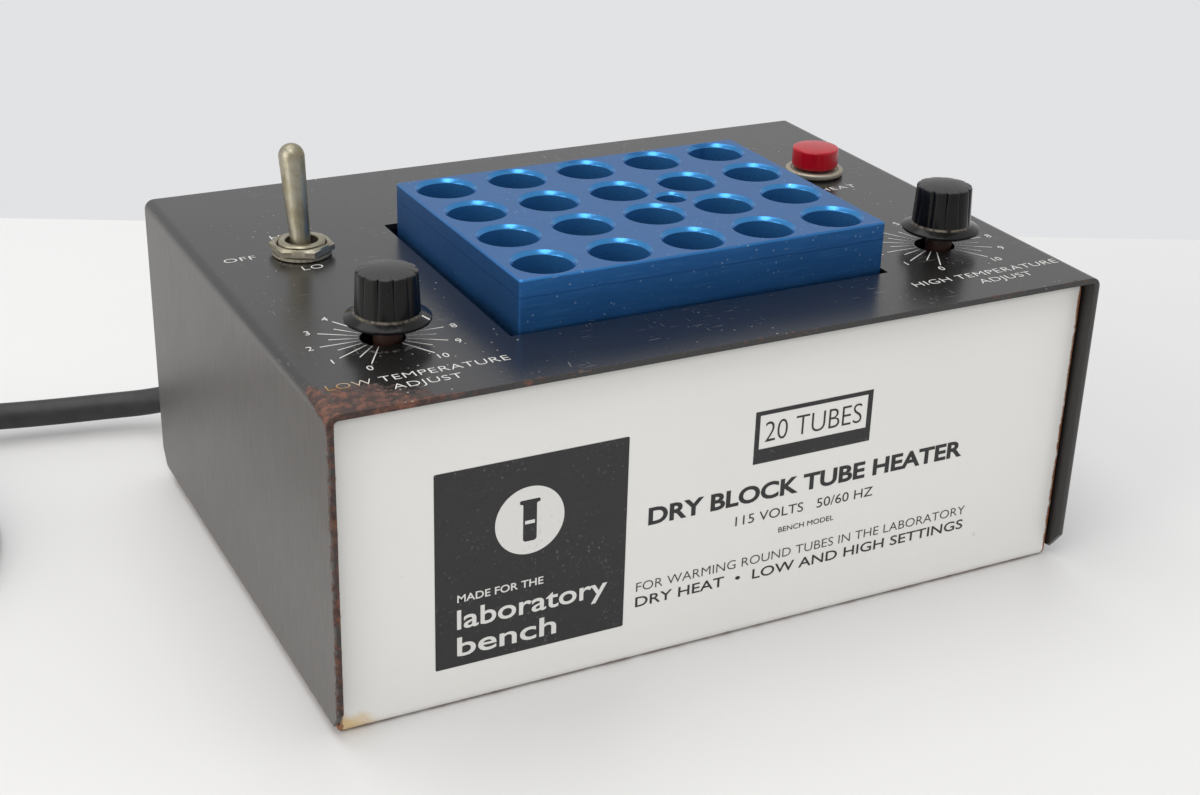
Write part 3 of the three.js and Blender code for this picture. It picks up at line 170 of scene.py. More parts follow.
CORD_DIAMETER = 7.7
CORD_SIDES = 20
COIL_MIDDLE = (-209, 60)
COIL_WINDS = 5.25
COIL_STEP_START = 110  # degrees into each turn
COIL_STEP_LENGTH = 60  # degrees
# The radius and the height of the cord's middle in each turn, from the top layer's outside.
COIL_TURNS = ((53.9, 11.65), (46.2, 11.65), (38.5, 11.65), (38.5, 3.95), (46.2, 3.95), (53.9, 3.95))
COIL_CROSSING = 3.4  # how far the cord swings in where it goes down a layer
# The cord's route in metres, from the back panel to the coil; its boot covers the first points.
CORD_ROUTE = (
    (-0.0765, 0.067, 0.017),
    (-0.0765, 0.073, 0.017),
    (-0.0776, 0.081, 0.0162),
    (-0.0807, 0.0885, 0.0146),
    (-0.0856, 0.0949, 0.0124),
    (-0.092, 0.0998, 0.0101),
    (-0.0995, 0.1031, 0.0086),
    (-0.110, 0.1062, 0.0079),
    (-0.125, 0.1092, 0.0076),
    (-0.140, 0.1116, 0.0079),
    (-0.155, 0.1131, 0.0091),
    (-0.168, 0.1138, 0.0106),
    (-0.179, 0.1139, 0.0115),
)
ROUTE_STEPS = 10  # curve points for each point of a route
BOOT_POINTS = 5
BOOT_RADIUS = 5.2
BOOT_RINGS = 8
BOOT_FLANGE = 8.5  # radius
PLUG_OVERLAP = 0.8  # how far the plug reaches back over the cord
TAIL_ROUTE = (
    (-0.2629, 0.0294, 0.00395),
    (-0.2629, 0.020, 0.0043),
    (-0.2629, 0.010, 0.0064),
    (-0.2629, 0.0, 0.010),
    (-0.2629, -0.008, 0.0124),
    (-0.2629, -0.015, 0.0128),
)

NUMBER_RADIUS = 17.2  # from the middle of a dial to the middle of a number
NUMBER_HEIGHT = 2.3
TICK_START = 5.6
TICK_ENDS = (14.8, 12.1)  # at the whole numbers and at the halves
TICK_WIDTH = 0.26
CAPITAL = 0.7  # capital height of the built-in letters at size 1

# ---------------------------------------------------------------- shapes as points and faces


def unit(vector):
    """The vector at length 1."""
    return vector / np.linalg.norm(vector, axis=-1, keepdims=True)


def joined(*shapes):
    """Several (points, faces) as one; each shape's faces count on from the points before it."""
    points, faces, start = [], [], 0
    for shape_points, shape_faces in shapes:
        points.append(np.asarray(shape_points, float))
        faces.extend([[start + number for number in face] for face in shape_faces])
        start += len(shape_points)
    return np.concatenate(points), faces


def moved(shape, place=(0, 0, 0), turn=0.0, lean=0.0):
    """A shape leant about X, then turned about Z, then carried to a place."""
    points, faces = shape
    turned_about = np.array(Matrix.Rotation(turn, 3, "Z") @ Matrix.Rotation(lean, 3, "X"))
    return points @ turned_about.T + np.asarray(place, float), faces


def grid(points, round_rows=False, caps=False):
    """Four-sided faces over rows of points; a round row closes on itself, and caps fill both ends."""
    rows, columns = points.shape[:2]
    numbers = np.arange(rows * columns).reshape(rows, columns)
    ahead = np.roll(numbers, -1, axis=1) if round_rows else numbers[:, 1:]
    here = numbers if round_rows else numbers[:, :-1]
    quads = np.stack([here[:-1], ahead[:-1], ahead[1:], here[1:]], axis=-1).reshape(-1, 4)
    faces = quads.tolist()
    if caps:
        faces.append(numbers[0, ::-1].tolist())
        faces.append(numbers[-1].tolist())
    return points.reshape(-1, 3), faces


def softened(corners, radius, steps=5):
    """A line whose inner corners are arcs: each arc touches both legs at radius / tan(half angle), or at
    0.45 of the shorter leg if that is less; a corner that is nearly straight stays as it is."""
    corners = [np.asarray(corner, float) for corner in corners]
    line = [corners[0]]
    for before, here, after in zip(corners, corners[1:], corners[2:]):
        back, ahead = unit(before - here), unit(after - here)
        half = math.acos(np.clip(back @ ahead, -1, 1)) / 2
        legs = min(np.linalg.norm(before - here), np.linalg.norm(after - here))
        reach = min(radius / math.tan(half), 0.45 * legs)
        if half > NEARLY_STRAIGHT:
            line.append(here)
            continue
        centre = here + unit(back + ahead) * reach / math.cos(half)
        first, last = here + back * reach - centre, here + ahead * reach - centre
        sweep = math.acos(np.clip(unit(first) @ unit(last), -1, 1))
        share = np.linspace(0, 1, steps + 1)[:, None]
        arc = (np.sin((1 - share) * sweep) * first + np.sin(share * sweep) * last) / math.sin(sweep)
        line.extend(centre + arc)
    line.append(corners[-1])
    return np.array(line)


def turned(profile, sides=96, ripple=None):
    """A profile of (radius, height) carried round Z: x = r cos a, y = r sin a, z = height.

    ripple(angle, row) gives a factor for the radius at each angle and row."""
    radius, height = np.asarray(profile, float).T
    angle = np.linspace(0, TAU, sides, endpoint=False)
    around = radius[:, None] * np.ones(sides)
    if ripple is not None:
        around = around * ripple(angle[None, :], np.arange(len(radius))[:, None])
    rise = np.broadcast_to(height[:, None], around.shape)
    return grid(np.stack([around * np.cos(angle), around * np.sin(angle), rise], -1), round_rows=True)


def swept(path, radii, sides=24, caps=True):
    """A round section carried along a path: path + r (cos a) n + r (sin a) b, where n turns with the
    path as little as it can and b is square to both."""
    path = np.asarray(path, float)
    along = unit(np.gradient(path, axis=0))
    across = [unit(np.cross(along[0], (0.3, 0.1, 1.0)))]
    for direction in along[1:]:
        across.append(unit(across[-1] - (across[-1] @ direction) * direction))
    across = np.array(across)
    other = np.cross(along, across)
    angle = np.linspace(0, TAU, sides, endpoint=False)[None, :, None]
    reach = (np.ones(len(path)) * radii)[:, None, None]
    ring = np.cos(angle) * across[:, None] + np.sin(angle) * other[:, None]
    return grid(path[:, None] + reach * ring, round_rows=True, caps=caps)


def circle(x, y, radius, count=64):
    """Points round a circle, counter-clockwise."""
    angle = np.linspace(0, TAU, count, endpoint=False)
    return np.stack([x + radius * np.cos(angle), y + radius * np.sin(angle)], -1)


def oblong(low, high, radius=0.0, steps=5):
    """A rectangle's outline between its low and high corners, with round corners, counter-clockwise."""
    (x0, y0), (x1, y1) = low, high
    middle = (x0 + x1) / 2
    corners = [(middle, y0), (x1, y0), (x1, y1), (x0, y1), (x0, y0), (middle, y0)]
    if radius:
        return softened(corners, radius, steps)[:-1]
    return np.array(corners[1:-1], float)


def flat(outline, holes=(), height=0.0):
    """The triangles between an outline and its holes, at one height, facing up."""
    rings = [np.asarray(outline, float), *[np.asarray(hole, float) for hole in holes]]
    triangles = tessellate_polygon([[(x, y, 0) for x, y in ring] for ring in rings])
    points = np.concatenate(rings)
    points = np.column_stack([points, np.full(len(points), height)])
    corners = points[np.array(triangles)][:, :, :2]
    (ax, ay), (bx, by) = (corners[:, 1] - corners[:, 0]).T, (corners[:, 2] - corners[:, 0]).T
    ups = ax * by - ay * bx
    return points, [t if up > 0 else t[::-1] for t, up in zip(map(list, triangles), ups)]


def prism(outline, low, high):
    """An outline pushed up from one height to another, with both ends filled."""
    outline = np.asarray(outline, float)
    rows = [np.column_stack([outline, np.full(len(outline), z)]) for z in (low, high)]
    return grid(np.array(rows), round_rows=True, caps=True)


def pierced(outline, holes, low, high):
    """A flat solid between two heights, with holes through it."""
    walls = []
    for ring in (outline, *holes):
        rows = [np.column_stack([ring, np.full(len(ring), z)]) for z in (low, high)]
        walls.append(grid(np.array(rows), round_rows=True))
    return joined(flat(outline, holes, low), flat(outline, holes, high), *walls)


def standing(shape, origin, right, up):
    """A flat shape stood elsewhere: its x goes along right, its y along up and its z out of the face."""
    points, faces = shape
    right, up = np.asarray(right, float), np.asarray(up, float)
    axes = np.array([right, up, np.cross(right, up)])
    return points @ axes + np.asarray(origin, float), faces


# ---------------------------------------------------------------- pieces


def piece(name, shape, material, body="case", replaces=(), sharp=35):
    """Makes a shape a mesh object, merges its doubles, and gives it its finish, body and CAD nodes."""
    points, faces = shape
    mesh = bpy.data.meshes.new(name)
    mesh.from_pydata((points * MM).tolist(), [], faces)
    work = bmesh.new()
    work.from_mesh(mesh)
    bmesh.ops.remove_doubles(work, verts=work.verts, dist=MERGE_DISTANCE)
    bmesh.ops.dissolve_degenerate(work, edges=work.edges, dist=SLIVER_DISTANCE)
    bmesh.ops.recalc_face_normals(work, faces=work.faces)
    work.to_mesh(mesh)
    work.free()
    mesh.shade_smooth()
    mesh.set_sharp_from_angle(angle=math.radians(sharp))
    mesh.materials.append(material)
    made = bpy.data.objects.new(name, mesh)
    bpy.context.scene.collection.objects.link(made)
    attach(made, body)
    if replaces:
        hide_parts(*replaces)
    return made


def ease(made, width, angle=50, segments=2):
    """Rounds every edge that is sharper than the angle."""
    bevel = made.modifiers.new("eased_edges", "BEVEL")
    bevel.width = width * MM
    bevel.segments = segments
    bevel.limit_method = "ANGLE"
    bevel.angle_limit = math.radians(angle)
    bevel.harden_normals = True
    bevel.use_clamp_overlap = True


# ---------------------------------------------------------------- node arithmetic


class Wire:
    """A node's output that Python can do sums with: each operator adds one Math node."""

    def __init__(self, paint, socket):
        self.paint = paint
        self.socket = socket

    def sum_of(self, operation, *values):
        """A Math node on values or outputs."""
        return self.paint.node("ShaderNodeMath", {"operation": operation}, values)

    def __add__(self, other):
        return self.sum_of("ADD", self, other)

    def __sub__(self, other):
        return self.sum_of("SUBTRACT", self, other)

    def __rsub__(self, other):
        return self.sum_of("SUBTRACT", other, self)

    def __mul__(self, other):
        return self.sum_of("MULTIPLY", self, other)

    def __truediv__(self, other):
        return self.sum_of("DIVIDE", self, other)

    def __pow__(self, other):
        return self.sum_of("POWER", self, other)

    def __abs__(self):
        return self.sum_of("ABSOLUTE", self)

    __radd__ = __add__
    __rmul__ = __mul__

    def larger(self, other):
        """The larger of the two values."""
        return self.sum_of("MAXIMUM", self, other)

    def rise(self, low, high):
        """0 below low, 1 above high, and a smooth step between; low may be the larger one."""
        settings = {"interpolation_type": "SMOOTHSTEP"}
        values = {"Value": self, "From Min": low, "From Max": high}
        return self.paint.node("ShaderNodeMapRange", settings, values)


MIX_SHARE, MIX_FIRST, MIX_SECOND, MIX_RESULT = 0, 6, 7, 2  # a Mix node's sockets for colours


class Paint:
    """One material: a Principled shader whose fixed numbers are set on its own sockets."""

    def __init__(self, name, **fixed):
        self.material = bpy.data.materials.new(name)
        self.material.use_nodes = True
        self.tree = self.material.node_tree
        self.shader = self.tree.nodes["Principled BSDF"]
        for socket, value in fixed.items():
            label = socket.replace("_", " ").title().replace("Ior", "IOR")
            self.shader.inputs[label].default_value = value
        self.place = self.node("ShaderNodeTexCoord", {}, {}, "Object")

    def node(self, kind, settings=None, values=(), output=0):
        """Adds a node: its settings first, then the value or the link of each socket."""
        made = self.tree.nodes.new(kind)
        for name, value in (settings or {}).items():
            setattr(made, name, value)
        pairs = values.items() if isinstance(values, dict) else enumerate(values)
        for socket, value in pairs:
            if isinstance(value, Wire):
                self.tree.links.new(value.socket, made.inputs[socket])
            else:
                made.inputs[socket].default_value = value
        return Wire(self, made.outputs[output])

    def axes(self):
        """X, Y and Z of the object's own frame, in millimetres."""
        split = self.node("ShaderNodeSeparateXYZ", {}, [self.place])
        outputs = split.socket.node.outputs
        return [Wire(self, outputs[i]) / MM for i in range(3)]

    def noise(self, size, detail=4.0, rough=0.55, stretch=None, shift=(0, 0, 0)):
        """A noise whose lumps are about this many millimetres; stretch lengthens them along an axis."""
        place = self.place
        if stretch or any(shift):
            scale = [1 / s for s in (stretch or (1, 1, 1))]
            values = {"Vector": place, "Scale": scale, "Location": [s * MM for s in shift]}
            place = self.node("ShaderNodeMapping", {}, values)
        values = {"Vector": place, "Scale": 1 / (size * MM), "Detail": detail, "Roughness": rough}
        return self.node("ShaderNodeTexNoise", {}, values)

    def cells(self, size):
        """The distance to the nearest of many scattered points about this many millimetres apart."""
        values = {"Vector": self.place, "Scale": 1 / (size * MM)}
        return self.node("ShaderNodeTexVoronoi", {}, values)

    def blend(self, first, second, share):
        """The first colour at 0 and the second at 1."""
        values = {MIX_SHARE: share, MIX_FIRST: first, MIX_SECOND: second}
        return self.node("ShaderNodeMix", {"data_type": "RGBA"}, values, MIX_RESULT)

    def feed(self, socket, wire):
        """Links an output to one of the shader's own sockets."""
        self.tree.links.new(wire.socket, self.shader.inputs[socket])

    def bump(self, height, depth, strength=1.0):
        """Tilts the surface by a height that runs from 0 to 1 over this many millimetres."""
        values = {"Height": height, "Distance": depth * MM, "Strength": strength}
        self.feed("Normal", self.node("ShaderNodeBump", {}, values))


# ---------------------------------------------------------------- finishes

# Colours are linear red, green, blue and alpha; a pair is the two ends of a cloudy blend.
PAINT_SHADES = ((0.0085, 0.0080, 0.0080, 1), (0.0150, 0.0138, 0.0125, 1))
# The sides' lighter grey is a painted reflection of the bright surroundings, not a paint of its own.
PAINT_SIDE_REFLECTION = (0.086, 0.079, 0.073, 1)
PAINT_GRAIN = (0.018, 0.016, 0.015, 1)
PAINT_RUST = ((0.030, 0.012, 0.008, 1), (0.175, 0.062, 0.033, 1))
PAINT_DUST = (0.50, 0.47, 0.43, 1)
SCUFF_RADIUS = 8.6
ENAMEL_SHADES = ((0.80, 0.79, 0.755, 1), (0.76, 0.75, 0.715, 1))
ENAMEL_STAIN = (0.62, 0.40, 0.12, 1)
ENAMEL_RUST = (0.22, 0.075, 0.025, 1)
ENAMEL_CHIP = (0.30, 0.25, 0.20, 1)
INK_YELLOWED = (0.36, 0.20, 0.05, 1)
BLUE_SHADES = ((0.020, 0.105, 0.315, 1), (0.030, 0.150, 0.400, 1))
# The top face's greyer, lighter blue is a painted sheen of the bright surroundings.
BLUE_TOP_SHEEN = (0.052, 0.150, 0.350, 1)
BLUE_GRAIN = (0.060, 0.220, 0.500, 1)
BLUE_MARK = (0.012, 0.065, 0.220, 1)
# The bores' paler blue is painted light inside the holes.
BLUE_BORE_PAINTED_LIGHT = (0.045, 0.210, 0.470, 1)
# The lighter blue of the hole rims and top edges is a painted highlight.
BLUE_RIM_HIGHLIGHT = (0.050, 0.240, 0.540, 1)
BLUE_RUB = (0.35, 0.48, 0.62, 1)
NICKEL_SHADES = ((0.36, 0.335, 0.26, 1), (0.26, 0.225, 0.145, 1))
NICKEL_LOW = (0.52, 0.48, 0.40, 1)
NICKEL_PITS = (0.13, 0.10, 0.06, 1)
PHENOLIC_SHADES = ((0.004, 0.0037, 0.0035, 1), (0.008, 0.0072, 0.0066, 1))
PHENOLIC_CROWN = (0.034, 0.033, 0.032, 1)
PHENOLIC_DUST = (0.30, 0.25, 0.19, 1)


def black_paint():
    """Satin black paint: the outer sides painted a lighter grey, a painted reflection of the bright
    surroundings, with an upright brushed grain; dust, scratches and a scuffed ring on what faces up; mottled
    rust along folds and edges and over the top's front left corner."""
    paint = Paint("black_paint", ior=1.6)
    x, y, z = paint.axes()
    up = z.rise(TOP - BEND_RADIUS, TOP - 0.3)
    side = (1 - up) * abs(x).rise(CASE_RIGHT - 0.7, CASE_RIGHT - 0.2)
    fine = paint.noise(0.35, 3)
    cloud = paint.noise(28, 5)
    brushed = paint.noise(0.9, 4, 0.7, stretch=(1, 1, 9), shift=(6, 2, 3))
    clump = paint.noise(24, 2, shift=(9, 4, 0)).rise(0.48, 0.62)
    specks = paint.cells(2.7).rise(0.115, 0.045) * clump
    fluff = paint.noise(0.9, 5, 0.7).rise(0.66, 0.72)
    fluff = fluff * paint.noise(17, 3, shift=(31, 7, 2)).rise(0.54, 0.66)
    hairs = paint.noise(0.5, 2, 0.5, stretch=(16, 0.8, 1), shift=(5, 2, 6)).rise(0.68, 0.73)
    other_hairs = paint.noise(0.5, 2, 0.5, stretch=(0.9, 12, 1), shift=(1, 9, 4)).rise(0.7, 0.75)
    scratch = hairs.larger(other_hairs) * paint.noise(21, 2, shift=(2, 5, 9)).rise(0.5, 0.64)
    dial_x, dial_y = x - (SHAFTS["low"][0] - SHAFT_OFFSET), y - SHAFTS["low"][1]
    ring = abs((dial_x * dial_x + dial_y * dial_y) ** 0.5 - SCUFF_RADIUS).rise(1.0, 0.1) * dial_y.rise(1, -6)
    scuff = ring * paint.noise(1.4, 5, 0.7).rise(0.46, 0.66)
    base = paint.blend(*PAINT_SHADES, cloud)
    # Painted reflection: the sides are made lighter grey to stand in for the bright surroundings they
    # reflect.
    base = paint.blend(base, PAINT_SIDE_REFLECTION, side)
    base = paint.blend(base, PAINT_GRAIN, side * brushed.rise(0.38, 0.72) * 0.38)
    rust = black_paint_rust(paint, x, y, z, up)
    warm = paint.noise(2.3, 6, 0.75, shift=(8, 1, 3)).rise(0.42, 0.66)
    brown = paint.blend(*PAINT_RUST, warm)
    dust = (specks * 0.8).larger(fluff * 0.3).larger(scratch * 0.32).larger(scuff * 0.35) * up
    base = paint.blend(base, brown, rust)
    base = paint.blend(base, PAINT_DUST, dust)
    paint.feed("Base Color", base)
    paint.feed("Roughness", 0.22 + cloud * 0.08 + (1 - up) * 0.16 + rust * 0.45 + dust * 0.4)
    paint.bump(fine * 0.3 + rust * warm * 1.3 + dust + side * brushed * 0.6, 0.04)
    return paint.material


def black_paint_rust(paint, x, y, z, up):
    """Where the black paint has rusted, from 0 to 1: distances to the corner, the folds and the edges,
    broken up by a coarse and a fine noise."""
    coarse = paint.noise(7, 6, 0.7)
    speckle = paint.noise(1.2, 5, 0.75, shift=(3, 3, 8))
    corner_x = (x + CASE_RIGHT - 5) / 21
    corner_y = (y + CASE_BACK - 3) / 11
    corner = (corner_x * corner_x + corner_y * corner_y + (1 - up) * 1.2).rise(1.8, 0.1)
    fold = abs(x + CASE_RIGHT - 1).rise(2.4, 0.2) * z.rise(TOP - 4, TOP - 2) * (y + CASE_BACK).rise(95, 8)
    leftward = x.rise(60, -60)
    front_edge = (y + CASE_BACK).rise(2.2, 0.2) * up.larger(leftward)
    lower = (z - COVER_BOTTOM).rise(5, 0.5) * (y + CASE_BACK).rise(60, 2) * leftward
    rusty = corner * 0.60 + fold * 0.36 + front_edge * 0.36 + lower * 0.3
    return (rusty + coarse * 0.8 + speckle * 0.9 - 0.85).rise(0.36, 0.58)


def white_enamel():
    """White stove enamel: faint clouds, brown rust along the panel's sides and foot, a yellow stain in
    the left corner and a few small chips."""
    paint = Paint("white_enamel", roughness=0.3, coat_weight=0.2, coat_roughness=0.15)
    x, _, z = paint.axes()
    cloud = paint.noise(35, 5)
    rough_edge = paint.noise(3.5, 5, 0.7) * 1.6
    side = (PAN_RIGHT - abs(x)).rise(1.3, 0.1)
    foot = z.rise(1.5, 0.1)
    rust = ((side * 0.75).larger(foot * 0.6) + rough_edge - 0.8).rise(0.25, 0.7)
    stain_x = (x + PAN_RIGHT) / 9
    stain_z = z / 5
    stain = (stain_x * stain_x + stain_z * stain_z + rough_edge - 0.8).rise(1.5, 0.2)
    chips = paint.noise(1.1, 3, 0.6, stretch=(1, 1, 3), shift=(4, 1, 7)).rise(0.74, 0.78)
    chips = chips * paint.noise(16, 2, shift=(1, 6, 4)).rise(0.58, 0.66)
    base = paint.blend(*ENAMEL_SHADES, cloud)
    base = paint.blend(base, ENAMEL_STAIN, stain * 0.8)
    base = paint.blend(base, ENAMEL_RUST, rust)
    base = paint.blend(base, ENAMEL_CHIP, chips * 0.7)
    paint.feed("Base Color", base)
    paint.feed("Roughness", 0.28 + cloud * 0.08 + rust * 0.45)
    paint.bump(paint.noise(2.4, 3) * 0.2 - rust * 0.6, 0.03)
    return paint.material


def print_ink(name, tint, worn):
    """Screen-printed ink, a little uneven, worn through in small spots, and yellow over the rust."""
    paint = Paint(name)
    x, y, z = paint.axes()
    wear = paint.noise(0.9, 4, 0.7).rise(0.58, 0.75) * paint.noise(14, 2).rise(0.35, 0.65)
    rusty = (x + CASE_RIGHT).rise(17, 7) * (y + CASE_BACK).rise(16, 13) * z.rise(TOP - 1, TOP)
    base = paint.blend(tint, INK_YELLOWED, rusty)
    paint.feed("Base Color", paint.blend(base, worn, wear * 0.4))
    paint.feed("Roughness", 0.42 + paint.noise(6, 3) * 0.2)
    paint.bump(paint.noise(0.5, 2), 0.01)
    return paint.material


def blue_anodised():
    """Blue anodised aluminium: machined grain along X, a wavy tool mark under the top, and pale rubs,
    scratches and dust. Painted light: a greyer, lighter top face as a painted sheen, lighter hole rims and
    top edges as painted highlights, and paler bores as painted light inside the holes."""
    paint = Paint("blue_anodised")
    x, y, z = paint.axes()
    grain = paint.noise(0.5, 4, 0.7, stretch=(22, 1, 1))
    cloud = paint.noise(16, 4)
    mark = abs(z - (BLOCK_TOP - 3.9) + paint.noise(9, 2) * 0.8).rise(0.35, 0)
    rub = paint.noise(1.6, 6, 0.75, shift=(7, 3, 1)).rise(0.6, 0.76) * cloud.rise(0.4, 0.7)
    specks = paint.cells(2.1).rise(0.16, 0.06) * paint.noise(22, 2).rise(0.45, 0.6)
    scratch = paint.noise(0.5, 2, 0.5, stretch=(9, 0.9, 2), shift=(5, 7, 6)).rise(0.7, 0.75)
    inside_x = (BLOCK_SIZE[0] / 2 - 1.2 - abs(x - BLOCK_MIDDLE[0])).rise(0, 0.4)
    inside_y = (BLOCK_SIZE[1] / 2 - 1.2 - abs(y - BLOCK_MIDDLE[1])).rise(0, 0.4)
    bore = inside_x * inside_y * (BLOCK_TOP - z).rise(0.9, 1.1)
    # Painted highlight: rim marks the hole rims and edge the block's top edges, which are made lighter blue.
    rim = (BLOCK_TOP - z).rise(0.01, 0.06) * (1 - bore)
    rim = rim * (BLOCK_TOP - z).rise(1.1, 0.95)
    edge = rim * (1 - inside_x * inside_y) * (BLOCK_TOP - z).rise(0.5, 0.4)
    rim = (rim * inside_x * inside_y).larger(edge * 0.35)
    # Painted sheen: the top face is made greyer and lighter than the sides.
    top = (BLOCK_TOP - z).rise(0.03, 0.01)
    base = paint.blend(*BLUE_SHADES, cloud)
    base = paint.blend(base, BLUE_TOP_SHEEN, top * 0.75)
    base = paint.blend(base, BLUE_GRAIN, grain.rise(0.45, 0.8) * 0.5)
    base = paint.blend(base, BLUE_MARK, mark * 0.6 * (1 - bore))
    # Painted light: the bores are made paler than the outside to stand in for light inside the holes.
    base = paint.blend(base, BLUE_BORE_PAINTED_LIGHT, bore)
    base = paint.blend(base, BLUE_RIM_HIGHLIGHT, rim)
    pale = (rub * 0.2).larger(specks * 0.6).larger(scratch * 0.25) * (1 - bore)
    base = paint.blend(base, BLUE_RUB, pale)
    paint.feed("Base Color", base)
    paint.feed("Metallic", 0.88 - bore * 0.25)
    paint.feed("Roughness", 0.36 + grain * 0.14 + rub * 0.2 - rim * 0.19 - bore * 0.14)
    paint.bump(grain * 0.6 + mark * 0.4, 0.02)
    return paint.material


def tarnished_nickel():
    """Old nickel plate: yellow-brown tarnish in clouds, paler near the cover, with dark pits."""
    paint = Paint("tarnished_nickel", metallic=0.92)
    _, _, z = paint.axes()
    cloud = paint.noise(4.5, 6, 0.65)
    pits = paint.noise(0.6, 5, 0.7).rise(0.52, 0.72)
    low = (z - TOP).rise(4.5, 0.5)
    base = paint.blend(*NICKEL_SHADES, cloud.rise(0.35, 0.65))
    base = paint.blend(base, NICKEL_LOW, low * 0.7)
    base = paint.blend(base, NICKEL_PITS, pits * (0.2 + low * 0.3))
    paint.feed("Base Color", base)
    paint.feed("Roughness", 0.28 + cloud * 0.16 + pits * 0.2 + low * 0.2)
    paint.bump(pits * 0.5 + paint.noise(0.5, 2), 0.02)
    return paint.material


def plain_metal(name, tint, shade, rough, metallic=0.85, size=3.0):
    """A plain metal or plated finish that clouds between two tints, with a fine tooth."""
    paint = Paint(name, metallic=metallic)
    cloud = paint.noise(size, 5, 0.65)
    paint.feed("Base Color", paint.blend(tint, shade, cloud.rise(0.3, 0.7)))
    paint.feed("Roughness", rough + paint.noise(size / 3, 3) * 0.15)
    paint.bump(paint.noise(size / 6, 3), 0.02)
    return paint.material


def moulded(name, tint, shade, rough, size=5.0, depth=0.012, **fixed):
    """A moulded plastic, rubber or board that clouds between two tints, with a fine moulded skin."""
    paint = Paint(name, **fixed)
    cloud = paint.noise(size, 5, 0.6)
    paint.feed("Base Color", paint.blend(tint, shade, cloud.rise(0.3, 0.7)))
    paint.feed("Roughness", rough + paint.noise(size / 4, 3) * 0.12)
    paint.bump(paint.noise(size / 9, 3), depth)
    return paint.material


def black_phenolic():
    """Polished black phenolic: gloss with a faint film, a greyer crown, and a pale line of dust where the
    body meets the skirt."""
    paint = Paint("black_phenolic", specular_ior_level=0.22)
    _, _, z = paint.axes()
    ring = abs(z - (KNOB_FOOT + KNOB_SKIRT_HEIGHT + 0.25)).rise(0.42, 0.05)
    patchy = paint.noise(1.2, 5, 0.7)
    dust = ring * patchy.rise(0.35, 0.6) * 0.45 + paint.cells(2.6).rise(0.04, 0.015) * 0.3
    film = paint.noise(9, 4).rise(0.4, 0.8)
    rim = KNOB_FOOT + KNOB_SKIRT_HEIGHT + KNOB_BODY_HEIGHT
    crown = z.rise(rim - 0.1, rim + 0.1)
    base = paint.blend(*PHENOLIC_SHADES, film)
    base = paint.blend(base, PHENOLIC_CROWN, crown)
    paint.feed("Base Color", paint.blend(base, PHENOLIC_DUST, dust))
    paint.feed("Roughness", 0.14 + film * 0.12 + dust * 0.5 + crown * 0.2)
    paint.bump(paint.noise(1.5, 2) + dust, 0.008)
    return paint.material


PALE_INK = (0.72, 0.71, 0.68, 1)
DARK_INK = (0.016, 0.015, 0.016, 1)
BLACK_PAINT = black_paint()
WHITE_ENAMEL = white_enamel()
WHITE_PRINT = print_ink("white_print", PALE_INK, (0.10, 0.095, 0.09, 1))
BLACK_PRINT = print_ink("black_print", DARK_INK, (0.40, 0.39, 0.37, 1))
BLUE_ANODISED = blue_anodised()
NICKEL = tarnished_nickel()
ZINC = plain_metal("zinc_plate", (0.48, 0.48, 0.45, 1), (0.36, 0.35, 0.31, 1), 0.35)
ALUMINIUM = plain_metal("cast_aluminium", (0.42, 0.41, 0.40, 1), (0.25, 0.20, 0.16, 1), 0.45)
BRASS = plain_metal("brass", (0.46, 0.31, 0.10, 1), (0.30, 0.19, 0.06, 1), 0.3)
BLACK_PHENOLIC = black_phenolic()
BROWN_PHENOLIC = moulded("brown_phenolic", (0.026, 0.010, 0.007, 1), (0.048, 0.018, 0.011, 1), 0.4)
RED_LENS = moulded(
    "red_lens", (0.36, 0.0022, 0.010, 1), (0.42, 0.0035, 0.013, 1), 0.2, specular_ior_level=0.35
)
MICA = moulded("mica", (0.42, 0.30, 0.16, 1), (0.30, 0.20, 0.10, 1), 0.35, size=2.5)
INSULATION = moulded(
    "insulation", (0.66, 0.62, 0.52, 1), (0.52, 0.47, 0.38, 1), 0.85, size=2, depth=0.15
)
BLACK_RUBBER = moulded(
    "black_rubber", (0.010, 0.010, 0.011, 1), (0.020, 0.0195, 0.020, 1), 0.42, depth=0.03
)
LEAD_BLACK = moulded("lead_black", (0.012, 0.012, 0.012, 1), (0.022, 0.022, 0.022, 1), 0.45)
LEAD_WHITE = moulded("lead_white", (0.68, 0.67, 0.62, 1), (0.60, 0.58, 0.52, 1), 0.45)
LEAD_GREEN = moulded("lead_green", (0.020, 0.16, 0.045, 1), (0.028, 0.20, 0.060, 1), 0.45)
LEAD_RED = moulded("lead_red", (0.36, 0.028, 0.018, 1), (0.30, 0.022, 0.015, 1), 0.45)

# ---------------------------------------------------------------- folded sheets


def folds(corners):
    """The stretches of a folded section: (start of run, length, point, direction, whether it is a bend).

    A straight one runs from its point along its direction; a bend turns clockwise about its point, and
    starts at its direction from there."""
    corners = [np.array(corner, float) for corner in corners]
    stretches, run = [], 0.0
    for i, (start, end) in enumerate(zip(corners, corners[1:])):
        ahead = unit(end - start)
        lead_in = BEND_RADIUS if i > 0 else 0
        lead_out = BEND_RADIUS if i < len(corners) - 2 else 0
        length = np.linalg.norm(end - start) - lead_in - lead_out
        stretches.append((run, length, start + ahead * lead_in, ahead, False))
        run += length
        if lead_out:
            out = np.array([-ahead[1], ahead[0]])
            centre = end - ahead * BEND_RADIUS - out * BEND_RADIUS
            stretches.append((run, BEND_RADIUS * TAU / 4, centre, out, True))
            run += BEND_RADIUS * TAU / 4
    return stretches


